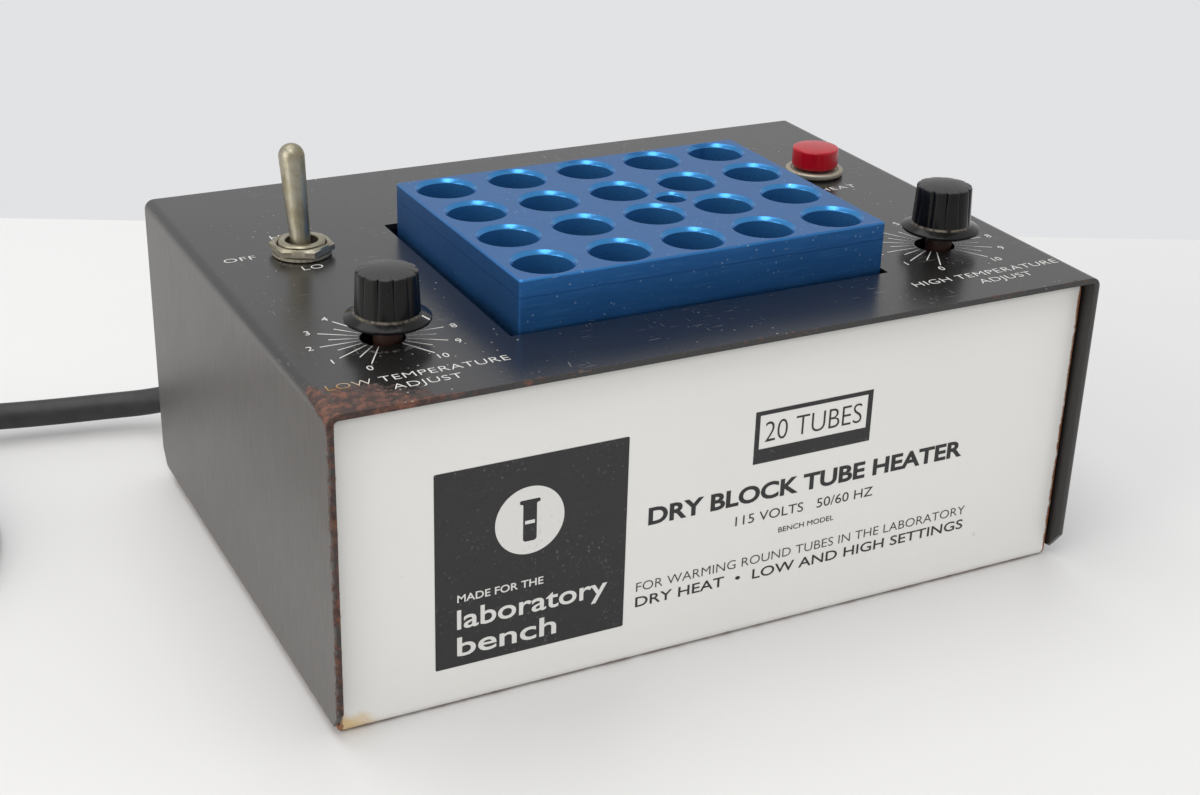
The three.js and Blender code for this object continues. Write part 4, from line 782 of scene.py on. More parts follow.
def carried(run, stretches, depth):
    """Where each run along the flat sheet lies on the folded section, this deep below its outside:
    start + direction * distance - depth * normal on a straight stretch, and in a bend
    centre + (radius - depth) * (direction turned clockwise by distance / radius)."""
    place = np.zeros((len(run), 2))
    for begin, length, point, direction, bent in stretches:
        inside = (run >= begin - 1e-6) & (run <= begin + length + 1e-6)
        past = run[inside] - begin
        out = np.array([-direction[1], direction[0]])
        if bent:
            angle = -past / BEND_RADIUS
            turned_by = np.cos(angle)[:, None] * direction + np.sin(angle)[:, None] * out
            place[inside] = point + (BEND_RADIUS - depth) * turned_by
        else:
            place[inside] = point + past[:, None] * direction - depth * out
    return place


def folded(outline, holes, stretches, along, thickness):
    """A flat sheet with holes, cut across at every step of its bends and folded, with its inside this
    thickness below its outside and a wall round every rim; along is the axis of the folds, 0 or 1."""
    points, faces = flat(outline, holes)
    sheet = bmesh.new()
    corners = [sheet.verts.new(point) for point in points]
    for face in faces:
        sheet.faces.new([corners[number] for number in face])
    bmesh.ops.beautify_fill(sheet, faces=sheet.faces, edges=sheet.edges)
    for begin, length, _, _, bent in stretches:
        for step in range(-1, BEND_STEPS + 2 if bent else -1):
            run = begin + length * step / BEND_STEPS
            everything = sheet.verts[:] + sheet.edges[:] + sheet.faces[:]
            bmesh.ops.bisect_plane(sheet, geom=everything, plane_co=(run, 0, 0), plane_no=(1, 0, 0))
    bmesh.ops.remove_doubles(sheet, verts=sheet.verts, dist=0.01)
    sheet.verts.index_update()
    points = np.array([vertex.co for vertex in sheet.verts])
    faces = [[vertex.index for vertex in face.verts] for face in sheet.faces]
    rims = [edge.link_loops[0] for edge in sheet.edges if len(edge.link_loops) == 1]
    rims = [(loop.vert.index, loop.link_loop_next.vert.index) for loop in rims]
    sheet.free()
    count = len(points)
    faces += [[number + count for number in face[::-1]] for face in faces]
    faces += [[last, first, first + count, last + count] for first, last in rims]
    sides = []
    for depth in (0, thickness):
        section = carried(points[:, 0], stretches, depth)
        across = points[:, 1] if along == 1 else -points[:, 1]
        columns = [section[:, 0], section[:, 1]]
        columns.insert(along, across)
        sides.append(np.column_stack(columns))
    return np.concatenate(sides), faces


def cover():
    """The top and both sides in one sheet, flanges turned in under the sides, bottom corners clipped."""
    inner = CASE_RIGHT - COVER_FLANGE
    section = [
        (-inner, COVER_BOTTOM),
        (-CASE_RIGHT, COVER_BOTTOM),
        (-CASE_RIGHT, TOP),
        (CASE_RIGHT, TOP),
        (CASE_RIGHT, COVER_BOTTOM),
        (inner, COVER_BOTTOM),
    ]
    stretches = folds(section)
    whole = stretches[-1][0] + stretches[-1][1]
    middle = whole / 2
    flange = stretches[2][0]  # run at which a side begins, above its lower bend
    back = CASE_BACK - FLANGE_INSET
    half = [
        (0, -back),
        (flange - FLANGE_RELIEF, -back),
        (flange - FLANGE_RELIEF, -CASE_BACK + CORNER_CLIP),
        (flange + CORNER_CLIP, -CASE_BACK),
    ]
    quarter = half + [(whole - run, y) for run, y in half[::-1]]
    outline = quarter + [(run, -y) for run, y in quarter[::-1]]
    block_x, block_y = BLOCK_MIDDLE[:2]
    half_x, half_y = BLOCK_SIZE[0] / 2, BLOCK_SIZE[1] / 2
    opening = oblong(
        (middle + block_x - half_x - OPENING_GAPS["left"], block_y - half_y - OPENING_GAPS["front"]),
        (middle + block_x + half_x + OPENING_GAPS["right"], block_y + half_y + OPENING_GAPS["back"]),
        OPENING_CORNER,
    )
    holes = [opening]
    for shaft_x, shaft_y, _ in SHAFTS.values():
        holes.append(circle(middle + shaft_x - SHAFT_OFFSET, shaft_y, SHAFT_HOLE / 2))
    holes.append(circle(middle + SWITCH[0], SWITCH[1], SWITCH_HOLE / 2))
    holes.append(circle(middle + LAMP[0], LAMP[1], LAMP_HOLE / 2))
    for corner in ("front_left", "back_left", "front_right", "back_right"):
        screw = middle_of("cover_screw_" + corner)
        run = inner - abs(screw[0])
        run = -run if corner.endswith("left") else whole + run
        holes.append(circle(run, screw[1], SCREW_HOLE / 2, 24))
    shape = folded(outline, holes, stretches, 1, COVER_SHEET)
    made = piece("folded_cover", shape, BLACK_PAINT, replaces=["cover"], sharp=30)
    ease(made, 0.2)


def pan():
    """The bottom with the front and back panels in one sheet, and the panels' top flanges."""
    back = -PANEL_FRONT
    section = [
        (back - PAN_FLANGE, PAN_TOP),
        (back, PAN_TOP),
        (back, 0),
        (-back, 0),
        (-back, PAN_TOP),
        (PAN_FLANGE - back, PAN_TOP),
    ]
    stretches = folds(section)
    whole = stretches[-1][0] + stretches[-1][1]
    middle = whole / 2
    outline = oblong((0, -PAN_RIGHT), (whole, PAN_RIGHT))
    holes = []
    for corner in ("front_left", "back_left", "front_right", "back_right"):
        screw = middle_of("cover_screw_" + corner)
        holes.append(circle(middle - screw[1], -screw[0], SCREW_HEAD_HOLE / 2, 24))
    for place in ("left_front", "left_back", "right_front", "right_back"):
        rivet = middle_of("bracket_rivet_" + place)
        holes.append(circle(middle - rivet[1], -rivet[0], SCREW_HOLE / 2, 24))
    up_the_back = stretches[2][0] + stretches[2][1] - (CORD_ROUTE[0][2] / MM - BEND_RADIUS)
    holes.append(circle(up_the_back, -CORD_ROUTE[0][0] / MM, CORD_HOLE / 2))
    shape = folded(outline, holes, stretches, 0, PAN_SHEET)
    made = piece("folded_pan", shape, WHITE_ENAMEL, replaces=["pan"], sharp=30)
    ease(made, 0.15)


# ---------------------------------------------------------------- tube block


def hole(x, y, bore, rim, depth):
    """A countersunk blind hole as an open surface: rim, cone, bore, and a drill's shallow point."""
    flare = (rim - bore) / 2
    profile = [
        (rim / 2, BLOCK_TOP),
        (bore / 2 + RIM_BREAK, BLOCK_TOP - flare + RIM_BREAK),
        (bore / 2, BLOCK_TOP - flare - RIM_BREAK),
        (bore / 2, BLOCK_TOP - depth / 3),
        (bore / 2, BLOCK_TOP - depth),
        (0, BLOCK_TOP - depth - DRILL_POINT),
    ]
    return moved(turned(profile, 64), (x, y, 0))


def tube_block():
    """Five by four tube holes and a thermometer hole between four of them. Every edge is broken."""
    half = np.array(BLOCK_SIZE) / 2
    outer = oblong(-half, half, BLOCK_CORNER, 4)
    inner = outer * (1 - BLOCK_CHAMFER / half)
    near = outer * (1 - 0.35 * BLOCK_CHAMFER / half)
    levels = [
        (inner, BLOCK_BOTTOM),
        (outer, BLOCK_BOTTOM + BLOCK_CHAMFER),
        (outer, BLOCK_TOP - BLOCK_CHAMFER),
        (near, BLOCK_TOP - 0.35 * BLOCK_CHAMFER),
        (inner, BLOCK_TOP),
    ]
    rows = [np.column_stack([ring, np.full(len(ring), z)]) for ring, z in levels]
    counts = np.array(TUBE_COUNTS)
    pitches = 2 * (half - BLOCK_EDGES) / (counts - 1)
    cuts = []
    for place in np.ndindex(*counts):
        x, y = (place - (counts - 1) / 2) * pitches
        cuts.append((x, y, TUBE_BORE, TUBE_RIM))
    cuts.append((pitches[0] / 2, 0, THERMOMETER_BORE, THERMOMETER_RIM))
    shape = joined(
        grid(np.array(rows), round_rows=True),
        flat(inner, [circle(x, y, rim / 2) for x, y, _, rim in cuts], BLOCK_TOP),
        flat(inner, (), BLOCK_BOTTOM),
        *[hole(x, y, bore, rim, TUBE_DEPTH) for x, y, bore, rim in cuts],
    )
    shape = moved(shape, (*BLOCK_MIDDLE[:2], 0), BLOCK_TURN)
    piece("drilled_block", shape, BLUE_ANODISED, "tube_block", ["tube_block"], sharp=20)


# ---------------------------------------------------------------- knobs and shafts


def knob(name):
    """A knob on a flared skirt. Its body is round between narrow grooves: the radius is cut by a share of
    (1 - |sin(half the flutes times the angle)|) to the power 3; the share grows from 0.03 at the foot to
    0.09 at the rim, and fades out over the dome."""
    rim = KNOB_SKIRT_HEIGHT + KNOB_BODY_HEIGHT
    profile = softened(
        [
            (KNOB_BORE, KNOB_BORE_DEPTH),
            (KNOB_BORE, 0),
            (KNOB_SKIRT - 0.7, 0),
            (KNOB_SKIRT, 0.35),
            (KNOB_SKIRT, SKIRT_EDGE),
            (KNOB_BASE + 0.3, KNOB_SKIRT_HEIGHT),
            (KNOB_BASE, KNOB_SKIRT_HEIGHT + 0.4),
            (KNOB_RIM, rim - 0.1),
            (KNOB_RIM * 0.9, rim + 0.12),
            (KNOB_RIM * 0.45, rim + KNOB_DOME * 0.85),
            (0, rim + KNOB_DOME),
        ],
        0.3,
        4,
    )
    height = profile[:, 1]
    outside = profile[:, 0] > KNOB_BORE + 0.01
    fluted = np.where(outside & (height > KNOB_SKIRT_HEIGHT + 0.5), 1.0, 0.0)
    fluted = fluted * np.clip((profile[:, 0] - KNOB_RIM * 0.86) / (KNOB_RIM * 0.1), 0, 1)
    share = fluted * np.interp(height, (KNOB_SKIRT_HEIGHT, rim - 2), GROOVE_SHARES)

    def grooves(angle, row):
        """The factor for the radius: 1 between the grooves."""
        notch = (1 - np.abs(np.sin(angle * KNOB_FLUTES / 2))) ** 3
        return 1 - share[row] * notch

    sides = 24 * KNOB_FLUTES
    floor = [(KNOB_BORE, KNOB_BORE_DEPTH), (0, KNOB_BORE_DEPTH)]
    shape = joined(turned(profile, sides, grooves), turned(floor, sides))
    foot = (*SHAFTS[name][:2], KNOB_FOOT)
    turn = math.radians(SETTINGS[name])
    body = name + "_knob"
    shape = moved(shape, foot, turn)
    piece(name + "_fluted_knob", shape, BLACK_PHENOLIC, owner(body), [body])
    along = np.linspace(KNOB_BASE + 0.5, KNOB_SKIRT - 0.2, 8)
    slope = (KNOB_SKIRT_HEIGHT - SKIRT_EDGE) / (KNOB_SKIRT - KNOB_BASE - 0.3)
    lift = SKIRT_EDGE + 0.05 + (KNOB_SKIRT - along) * slope
    side = INDEX_LINE_WIDTH / 2
    corners = ((-side, 0), (side, 0), (side, -INDEX_LINE_DEPTH), (-side, -INDEX_LINE_DEPTH))
    rows = [np.stack([along, np.full(8, across), lift + drop], -1) for across, drop in corners]
    line = grid(np.transpose(rows, (1, 0, 2)), round_rows=True, caps=True)
    piece(name + "_index_line", moved(line, foot, turn), WHITE_PRINT, owner(body))


def shaft(name):
    """An insulating shaft with a step down to its spigot and a broken top edge."""
    low, high = low_of(name + "_shaft"), high_of(name + "_shaft")
    step = high_of(name + "_thermostat")[2] + 0.3
    profile = [
        (0, low[2]),
        (SPIGOT_RADIUS - 0.2, low[2]),
        (SPIGOT_RADIUS, low[2] + 0.3),
        (SPIGOT_RADIUS, step),
        (SHAFT_RADIUS - 0.3, step),
        (SHAFT_RADIUS, step + 0.3),
        (SHAFT_RADIUS, high[2] - 0.3),
        (SHAFT_RADIUS - 0.3, high[2]),
        (0, high[2]),
    ]
    body = name + "_shaft"
    shape = moved(turned(profile, 64), (*SHAFTS[name][:2], 0))
    piece(name + "_turning_shaft", shape, BROWN_PHENOLIC, owner(body), [body])


def owner(node):
    """The body that a CAD node belongs to."""
    bodies = frame["record"]["behaviour"]["bodies"]
    return next(body for body, members in bodies.items() if node in members)


# ---------------------------------------------------------------- toggle switch


def hexagon(profile, flats, sides=96):
    """A six-sided profile: the radius follows the hexagon, half the flats over cos(angle from the middle
    of a flat), but never leaves the round profile, which chamfers the corners."""
    radius, height = np.asarray(profile, float).T
    angle = np.linspace(0, TAU, sides, endpoint=False)
    from_flat = (angle + TAU / 12) % (TAU / 6) - TAU / 12
    wall = flats / 2 / np.cos(from_flat)
    around = np.minimum(radius[:, None], wall[None, :])
    rise = np.broadcast_to(height[:, None], around.shape)
    return grid(np.stack([around * np.cos(angle), around * np.sin(angle), rise], -1), round_rows=True)


def switch_nut():
    """A hexagonal nut whose top corners are turned off, with a chamfered hole."""
    low, high = low_of("switch_nut")[2], high_of("switch_nut")[2]
    corner = NUT_FLATS / math.sqrt(3)
    profile = [
        (BUSHING_HOLE, low),
        (corner, low),
        (corner, high - 0.55),
        (NUT_FLATS / 2 - 0.15, high),
        (BUSHING_HOLE + 0.5, high),
        (BUSHING_HOLE, high - 0.4),
        (BUSHING_HOLE, low),
    ]
    shape = moved(hexagon(profile, NUT_FLATS), (*SWITCH[:2], 0), math.radians(4))
    made = piece("hexagon_nut", shape, NICKEL, "case", ["switch_nut"], sharp=25)
    ease(made, 0.1, 40)


def switch_washer():
    """A thin locking washer whose rim has small teeth: radius times 1 + 0.02 |sin(teeth times angle)|."""
    low, high = low_of("switch_washer")[2], high_of("switch_washer")[2]
    profile = [
        (BUSHING_HOLE, low),
        (WASHER_RADIUS, low),
        (WASHER_RADIUS, high),
        (BUSHING_HOLE, high),
        (BUSHING_HOLE, low),
    ]

    def teeth(angle, row):
        """The factor for the radius: only the two outer rows have teeth."""
        return np.where((row == 1) | (row == 2), 1 + 0.02 * np.abs(np.sin(WASHER_TEETH * angle)), 1.0)

    shape = moved(turned(profile, 180, teeth), (*SWITCH[:2], 0))
    piece("toothed_washer", shape, NICKEL, "case", ["switch_washer"])


def switch_body():
    """A box with a threaded bushing that is open at the top, and three solder tabs underneath. The thread
    is a wave along the height that moves on by one pitch each turn."""
    node_low, node_high = low_of("switch_body"), high_of("switch_body")
    body_low, body_top = node_low[2] + SWITCH_TAB_HEIGHT, TOP - COVER_SHEET - 0.3
    half_x = (node_high[0] - node_low[0]) / 2
    half_y = (node_high[1] - node_low[1]) / 2
    box = prism(oblong((-half_x, -half_y), (half_x, half_y), 1.2), body_low, body_top)
    top = node_high[2]
    levels = np.arange(body_top, top - 0.25, 0.12)
    angle = np.linspace(0, TAU, 72, endpoint=False)
    wave = np.abs((levels[:, None] / THREAD_PITCH - angle / TAU) % 1 - 0.5) * 2
    around = THREAD_RADIUS - THREAD_DEPTH * wave
    rise = np.broadcast_to(levels[:, None], around.shape)
    thread = np.stack([around * np.cos(angle), around * np.sin(angle), rise], -1)
    rings = [thread[0] * (0.6, 0.6, 1), *thread]
    mouth = [
        (THREAD_RADIUS - 0.45, top),
        (BUSHING_BORE + 0.2, top),
        (BUSHING_BORE, top - 0.2),
        (BUSHING_BORE, TOP - 2.5),
        (0, TOP - 3),
    ]
    for radius, z in mouth:
        rings.append(np.stack([radius * np.cos(angle), radius * np.sin(angle), np.full(72, z)], -1))
    bushing = grid(np.array(rings), round_rows=True)
    closing = grid(np.array([thread[0] * (0.6, 0.6, 1), thread[0] * (0, 0, 1)]), round_rows=True)
    tabs = []
    for place in (-SWITCH_TAB_PITCH, 0, SWITCH_TAB_PITCH):
        outline = oblong((-2.4, place - 0.4), (2.4, place + 0.4), 0.2, 2)
        tabs.append(prism(outline, node_low[2], body_low))
    shape = moved(joined(box, bushing, closing, *tabs), (*SWITCH[:2], 0))
    piece("threaded_switch", shape, NICKEL, "case", ["switch_body"])


def lever():
    """A bat lever: a cone that widens to a round tip, with a ball at its pivot."""
    neck, flare = 3.2, LEVER_TIP - LEVER_WAIST
    ball = np.linspace(-TAU / 4, TAU / 9, 12)
    profile = [(LEVER_BALL * math.cos(a), LEVER_BALL * math.sin(a)) for a in ball]
    profile += [(LEVER_WAIST, 2.4), (LEVER_WAIST + 0.02, neck)]
    for share in (0.35, 0.7, 1):
        profile.append((LEVER_WAIST + flare * share, neck + (LEVER_LENGTH - neck) * share))
    for a in np.linspace(0, TAU / 4, 14)[1:]:
        profile.append((LEVER_TIP * math.cos(a), LEVER_LENGTH + LEVER_TIP * math.sin(a)))
    pivot = (*SWITCH[:2], TOP - LEVER_PIVOT_DROP)
    shape = moved(turned(profile, 64), pivot, 0, -LEVER_LEAN)
    piece("bat_lever", shape, NICKEL, "switch_lever", ["switch_lever"])


# ---------------------------------------------------------------- pilot lamp


def lamp():
    """A bezel with a rolled rim on its barrel, and a lens with a slightly crowned top."""
    low = low_of("lamp_body")[2]
    bezel = [
        (LAMP_BARREL - 0.1, TOP + 0.3),
        (BEZEL_RADIUS, TOP + 0.3),
        (BEZEL_RADIUS, TOP + 1.9),
        (LAMP_BARREL + 0.6, TOP + 2.1),
        (LAMP_BARREL + 0.1, TOP + 1.7),
    ]
    profile = [
        (0, low),
        (LAMP_BARREL - 0.3, low),
        (LAMP_BARREL, low + 0.3),
        (LAMP_BARREL, TOP + 0.3),
        *softened(bezel, 0.6),
        (0, TOP + 1.6),
    ]
    place = (*LAMP[:2], 0)
    piece("lamp_bezel", moved(turned(profile), place), NICKEL, "case", ["lamp_body"])
    foot, top = low_of("lamp_lens")[2], high_of("lamp_lens")[2]
    lens = [(0, foot), (6.3, foot), (6.55, foot + 1), (6.5, top - 0.25), (3, top - 0.02), (0, top)]
    shape = moved(turned(softened(lens, 0.55, 6)), place)
    piece("crowned_lens", shape, RED_LENS, "case", ["lamp_lens"])


# ---------------------------------------------------------------- cord, boot and plug


def curve_through(points, steps=ROUTE_STEPS):
    """A centripetal Catmull-Rom curve: between two points a cubic whose end slopes come from their
    neighbours, with knots spaced by the square root of the distances."""
    points = np.array(points, float)
    padded = np.concatenate([[2 * points[0] - points[1]], points, [2 * points[-1] - points[-2]]])
    line = [points[:1]]
    for a, b, c, d in zip(padded, padded[1:], padded[2:], padded[3:]):
        before, here, after = (np.linalg.norm(q - p) ** 0.5 for p, q in ((a, b), (b, c), (c, d)))
        leave = ((b - a) / before - (c - a) / (before + here) + (c - b) / here) * here
        arrive = ((c - b) / here - (d - b) / (here + after) + (d - c) / after) * here
        t = np.linspace(0, 1, steps + 1)[1:, None]
        line.append(
            (2 * t**3 - 3 * t**2 + 1) * b
            + (t**3 - 2 * t**2 + t) * leave
            + (3 * t**2 - 2 * t**3) * c
            + (t**3 - t**2) * arrive
        )
    return np.concatenate(line)


def coil_line():
    """Five and a quarter turns from the outside of the top layer to the outside of the bottom layer. The
    angle grows evenly, and in the same sixth of every turn radius and height step smoothly to the next
    place; where the height changes, the cord also swings in and out again by half a sine wave."""
    degrees = np.arange(0, COIL_WINDS * 360 + 1, 5.0)
    radius = np.full(len(degrees), COIL_TURNS[0][0])
    height = np.full(len(degrees), COIL_TURNS[0][1])
    for turn, (here, after) in enumerate(zip(COIL_TURNS, COIL_TURNS[1:])):
        share = np.clip((degrees - COIL_STEP_START - 360 * turn) / COIL_STEP_LENGTH, 0, 1)
        step = share * share * (3 - 2 * share)
        radius += (after[0] - here[0]) * step
        height += (after[1] - here[1]) * step
        if here[1] != after[1]:
            radius -= COIL_CROSSING * np.sin(math.pi * share)
    angle = np.radians(90 + degrees)
    x = COIL_MIDDLE[0] + radius * np.cos(angle)
    y = COIL_MIDDLE[1] + radius * np.sin(angle)
    return np.stack([x, y, height], -1)


def between(start, end, gap=3.0):
    """Evenly spaced points strictly between two points."""
    count = max(int(np.linalg.norm(end - start) / gap), 1)
    return start + (end - start) * (np.arange(1, count) / count)[:, None]


def cord_line():
    """The whole cord from the end of its boot to the plug, in millimetres."""
    lead = curve_through(np.array(CORD_ROUTE) / MM)[(BOOT_POINTS - 1) * ROUTE_STEPS :]
    coil = coil_line()
    tail = curve_through(np.array(TAIL_ROUTE) / MM)
    return np.concatenate([lead, between(lead[-1], coil[0]), coil, between(coil[-1], tail[0]), tail])


def boot():
    """A ribbed tapering boot that follows the cord's first bend, behind a round flange that grips the
    panel: its radius falls by 0.55 along it, with a clipped wave of plus and minus 0.35 for the rings."""
    path = curve_through(np.array(CORD_ROUTE) / MM, 16)[: (BOOT_POINTS - 1) * 16 + 1]
    run = np.concatenate([[0], np.cumsum(np.linalg.norm(np.diff(path, axis=0), axis=1))])
    share = run / run[-1]
    ribs = 0.35 * np.clip(np.cos(share * TAU * BOOT_RINGS) * 3, -1, 1)
    radii = BOOT_RADIUS - 0.55 * share + ribs * (share > 0.22) * (share < 0.97)
    radii = np.where(share < 0.2, BOOT_RADIUS, radii)
    sleeve = swept(path, np.minimum(radii, BOOT_RADIUS), 40)
    panel = -PANEL_FRONT
    flange = [
        (0, panel + 0.3),
        (BOOT_FLANGE, panel + 0.3),
        (BOOT_FLANGE, panel + 1.4),
        (BOOT_FLANGE - 1.1, panel + 2.8),
        (5, panel + 2.8),
    ]
    inside = [
        (0, panel - 5.5),
        (BOOT_FLANGE - 1, panel - 5.5),
        (BOOT_FLANGE - 1, panel - 1.5),
        (6, panel - 1.5),
        (6, panel + 1),
        (0, panel + 1),
    ]
    along_y = Matrix.Rotation(-TAU / 4, 3, "X")
    discs = []
    for profile in ([*softened(flange, 0.5), (0, panel + 2.8)], inside):
        points, faces = turned(profile, 64)
        points = points @ np.array(along_y).T + (CORD_ROUTE[0][0] / MM, 0, CORD_ROUTE[0][2] / MM)
        discs.append((points, faces))
    shape = joined(sleeve, *discs)
    return piece("ribbed_boot", shape, BLACK_RUBBER, "case", ["strain_relief"])


def plug():
    """A moulded plug and its three metal pins. Its sections along Y swell from the cord to a waist and a
    grip; in each, |x / width| to a power plus |z / height| to that power is 1, and the power grows from
    2, a round section, to 4.2, a square one with round corners."""
    axis_x, axis_z = TAIL_ROUTE[-1][0] / MM, TAIL_ROUTE[-1][2] / MM
    back, face = high_of("plug_body")[1] + PLUG_OVERLAP, low_of("plug_body")[1]
    share = np.array([0, 0.01, 0.08, 0.2, 0.32, 0.42, 0.5, 0.6, 0.72, 0.84, 0.94, 0.985, 1.0])
    width = np.array([4.4, 4.9, 5.4, 6.6, 8.6, 10.9, 12.2, 12.9, 12.4, 12.9, 13.4, 13.2, 12.6])
    height = np.array([4.4, 4.9, 5.4, 6.4, 7.8, 9.4, 10.6, 11.4, 11.4, 12.0, 12.4, 12.2, 11.6])
    fine = np.linspace(0, 1, 70)
    width, height = np.interp(fine, share, width), np.interp(fine, share, height)
    smooth = np.array([0.25, 0.5, 0.25])
    width[1:-1] = np.convolve(width, smooth, "valid")
    height[1:-1] = np.convolve(height, smooth, "valid")
    squareness = 2 + 2.2 * np.clip((fine - 0.15) / 0.4, 0, 1)
    angle = np.linspace(0, TAU, 64, endpoint=False)
    power = (2 / squareness)[:, None]
    x = np.sign(np.cos(angle)) * np.abs(np.cos(angle)) ** power * width[:, None]
    z = np.sign(np.sin(angle)) * np.abs(np.sin(angle)) ** power * height[:, None]
    y = np.broadcast_to((back + (face - back) * fine)[:, None], x.shape)
    shape = grid(np.stack([axis_x + x, y, axis_z + z], -1), round_rows=True, caps=True)
    made = [piece("moulded_plug", shape, BLACK_RUBBER, "case", ["plug_body"], sharp=50)]
    for node in ("plug_line_blade", "plug_neutral_blade"):
        low, high = low_of(node), high_of(node)
        outline = oblong((low[0], low[2]), (high[0], high[2]), 0.3, 3)
        points, faces = prism(outline, 0, high[1] - low[1])
        points = np.column_stack([points[:, 0], low[1] + points[:, 2], points[:, 1]])
        blade = piece(node.replace("plug_", "flat_"), (points, faces), BRASS, "case", [node])
        ease(blade, 0.35, 60, 3)
        made.append(blade)
    low, high = low_of("plug_ground_pin"), high_of("plug_ground_pin")
    radius = (high[0] - low[0]) / 2
    dome = []
    for a in np.linspace(TAU / 4, 0, 10):
        dome.append((radius * math.cos(a), low[1] + radius * (1 - math.sin(a))))
    points, faces = turned([*dome, (radius, high[1]), (0, high[1])], 40)
    points = points[:, [0, 2, 1]] + ((low[0] + high[0]) / 2, 0, (low[2] + high[2]) / 2)
    made.append(piece("round_ground_pin", (points, faces), BRASS, "case", ["plug_ground_pin"]))
    return made


def cord():
    """One cord from the boot through the coil to the plug."""
    path = cord_line()
    shape = swept(path, CORD_DIAMETER / 2, CORD_SIDES)
    nodes = ["cord_lead", "cord_coil", "cord_tail"]
    made = piece("mains_cord", shape, BLACK_RUBBER, "case", nodes)
    boot()
    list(plug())


# ---------------------------------------------------------------- printed marks


def words(text, width, height, bold=0.0, space=1.0):
    """Words as a thin flat solid of this capital height, from x = 0 on a baseline at y = 0, stretched to
    this width; a width of 0 keeps the letters' own."""
    curve = bpy.data.curves.new("words", "FONT")
    curve.body = text
    curve.offset = bold
    curve.space_character = space
    curve.resolution_u = 4
    curve.extrude = 0.5
    holder = bpy.data.objects.new("words", curve)
    mesh = bpy.data.meshes.new_from_object(holder)
    points = np.zeros(len(mesh.vertices) * 3)
    mesh.vertices.foreach_get("co", points)
    points = points.reshape(-1, 3)
    faces = [list(polygon.vertices) for polygon in mesh.polygons]
    bpy.data.objects.remove(holder)
    bpy.data.meshes.remove(mesh)
    bpy.data.curves.remove(curve)
    low, high = points.min(0), points.max(0)
    rise = height / CAPITAL
    stretch = width / (high[0] - low[0]) if width else rise
    points[:, 0] = (points[:, 0] - low[0]) * stretch
    points[:, 1] = points[:, 1] * rise
    points[:, 2] = (points[:, 2] + 0.5) * PRINT
    return points, faces


def bar(low, high, radius=0.0):
    """A thin flat rectangle of print."""
    return prism(oblong(low, high, radius), 0, PRINT)


def on_top(shape, x, y, turn=0.0):
    """A printed shape laid on the cover's top."""
    return moved(shape, (x, y, TOP + 0.01), turn)


def on_front(shape, x, z, lift=0.0):
    """A printed shape stood on the front panel."""
    return standing(shape, (x, PANEL_FRONT - 0.01 - lift, z), (1, 0, 0), (0, 0, 1))


def dial(knob_middle):
    """Ticks every half number round a knob, long at the whole numbers, and upright numbers 0 to 10."""
    x, y = knob_middle[0] - SHAFT_OFFSET, knob_middle[1]
    marks = []
    for half_step in range(21):
        angle = math.radians(DIAL_START + DIAL_STEP * half_step / 2)
        tick = bar((TICK_START, -TICK_WIDTH / 2), (TICK_ENDS[half_step % 2], TICK_WIDTH / 2))
        marks.append(on_top(tick, x, y, angle))
        if half_step % 2 == 0:
            label = words(str(half_step // 2), 0, NUMBER_HEIGHT, -0.008)
            label_x = x + NUMBER_RADIUS * math.cos(angle) - label[0][:, 0].max() / 2
            label_y = y + NUMBER_RADIUS * math.sin(angle) - 1.1
            marks.append(on_top(label, label_x, label_y))
    return marks


def top_print():
    """Everything printed on the cover's top."""
    marks = [*dial(SHAFTS["low"]), *dial(SHAFTS["high"])]
    for text, x, y, width, height in (
        ("LOW TEMPERATURE", -97.1, -61.4, 42.2, 2.7),
        ("ADJUST", -83.9, -66.0, 15.9, 2.6),
        ("HIGH TEMPERATURE", 54.4, -60.6, 44.0, 2.7),
        ("ADJUST", 71.0, -65.1, 15.9, 2.6),
        ("OFF", -95.3, 19.2, 8.0, 2.6),
        ("LO", -79.1, 7.4, 5.2, 2.6),
        ("HI", -79.7, 31.0, 3.9, 2.6),
        ("HEAT", 72.6, 9.6, 11.5, 2.6),
    ):
        marks.append(on_top(words(text, width, height, -0.018, 1.05), x, y))
    piece("top_lettering", joined(*marks), WHITE_PRINT)


def tube_emblem(x, z, radius):
    """A plain emblem: a disc with a test tube left dark in it."""
    right = [(0, -0.62), (0.2, -0.62), (0.2, 0.5), (0.3, 0.5), (0.3, 0.62)]
    left = [(-x, y) for x, y in right[::-1]]
    tube = softened(right + left, 0.19, 6)[:-1]
    disc = pierced(circle(0, 0, radius, 72), [tube * radius], 0, PRINT)
    level = bar((-0.14 * radius, -0.1 * radius), (0.14 * radius, 0.0))
    return [on_front(shape, x, z, 0.07) for shape in (disc, level)]


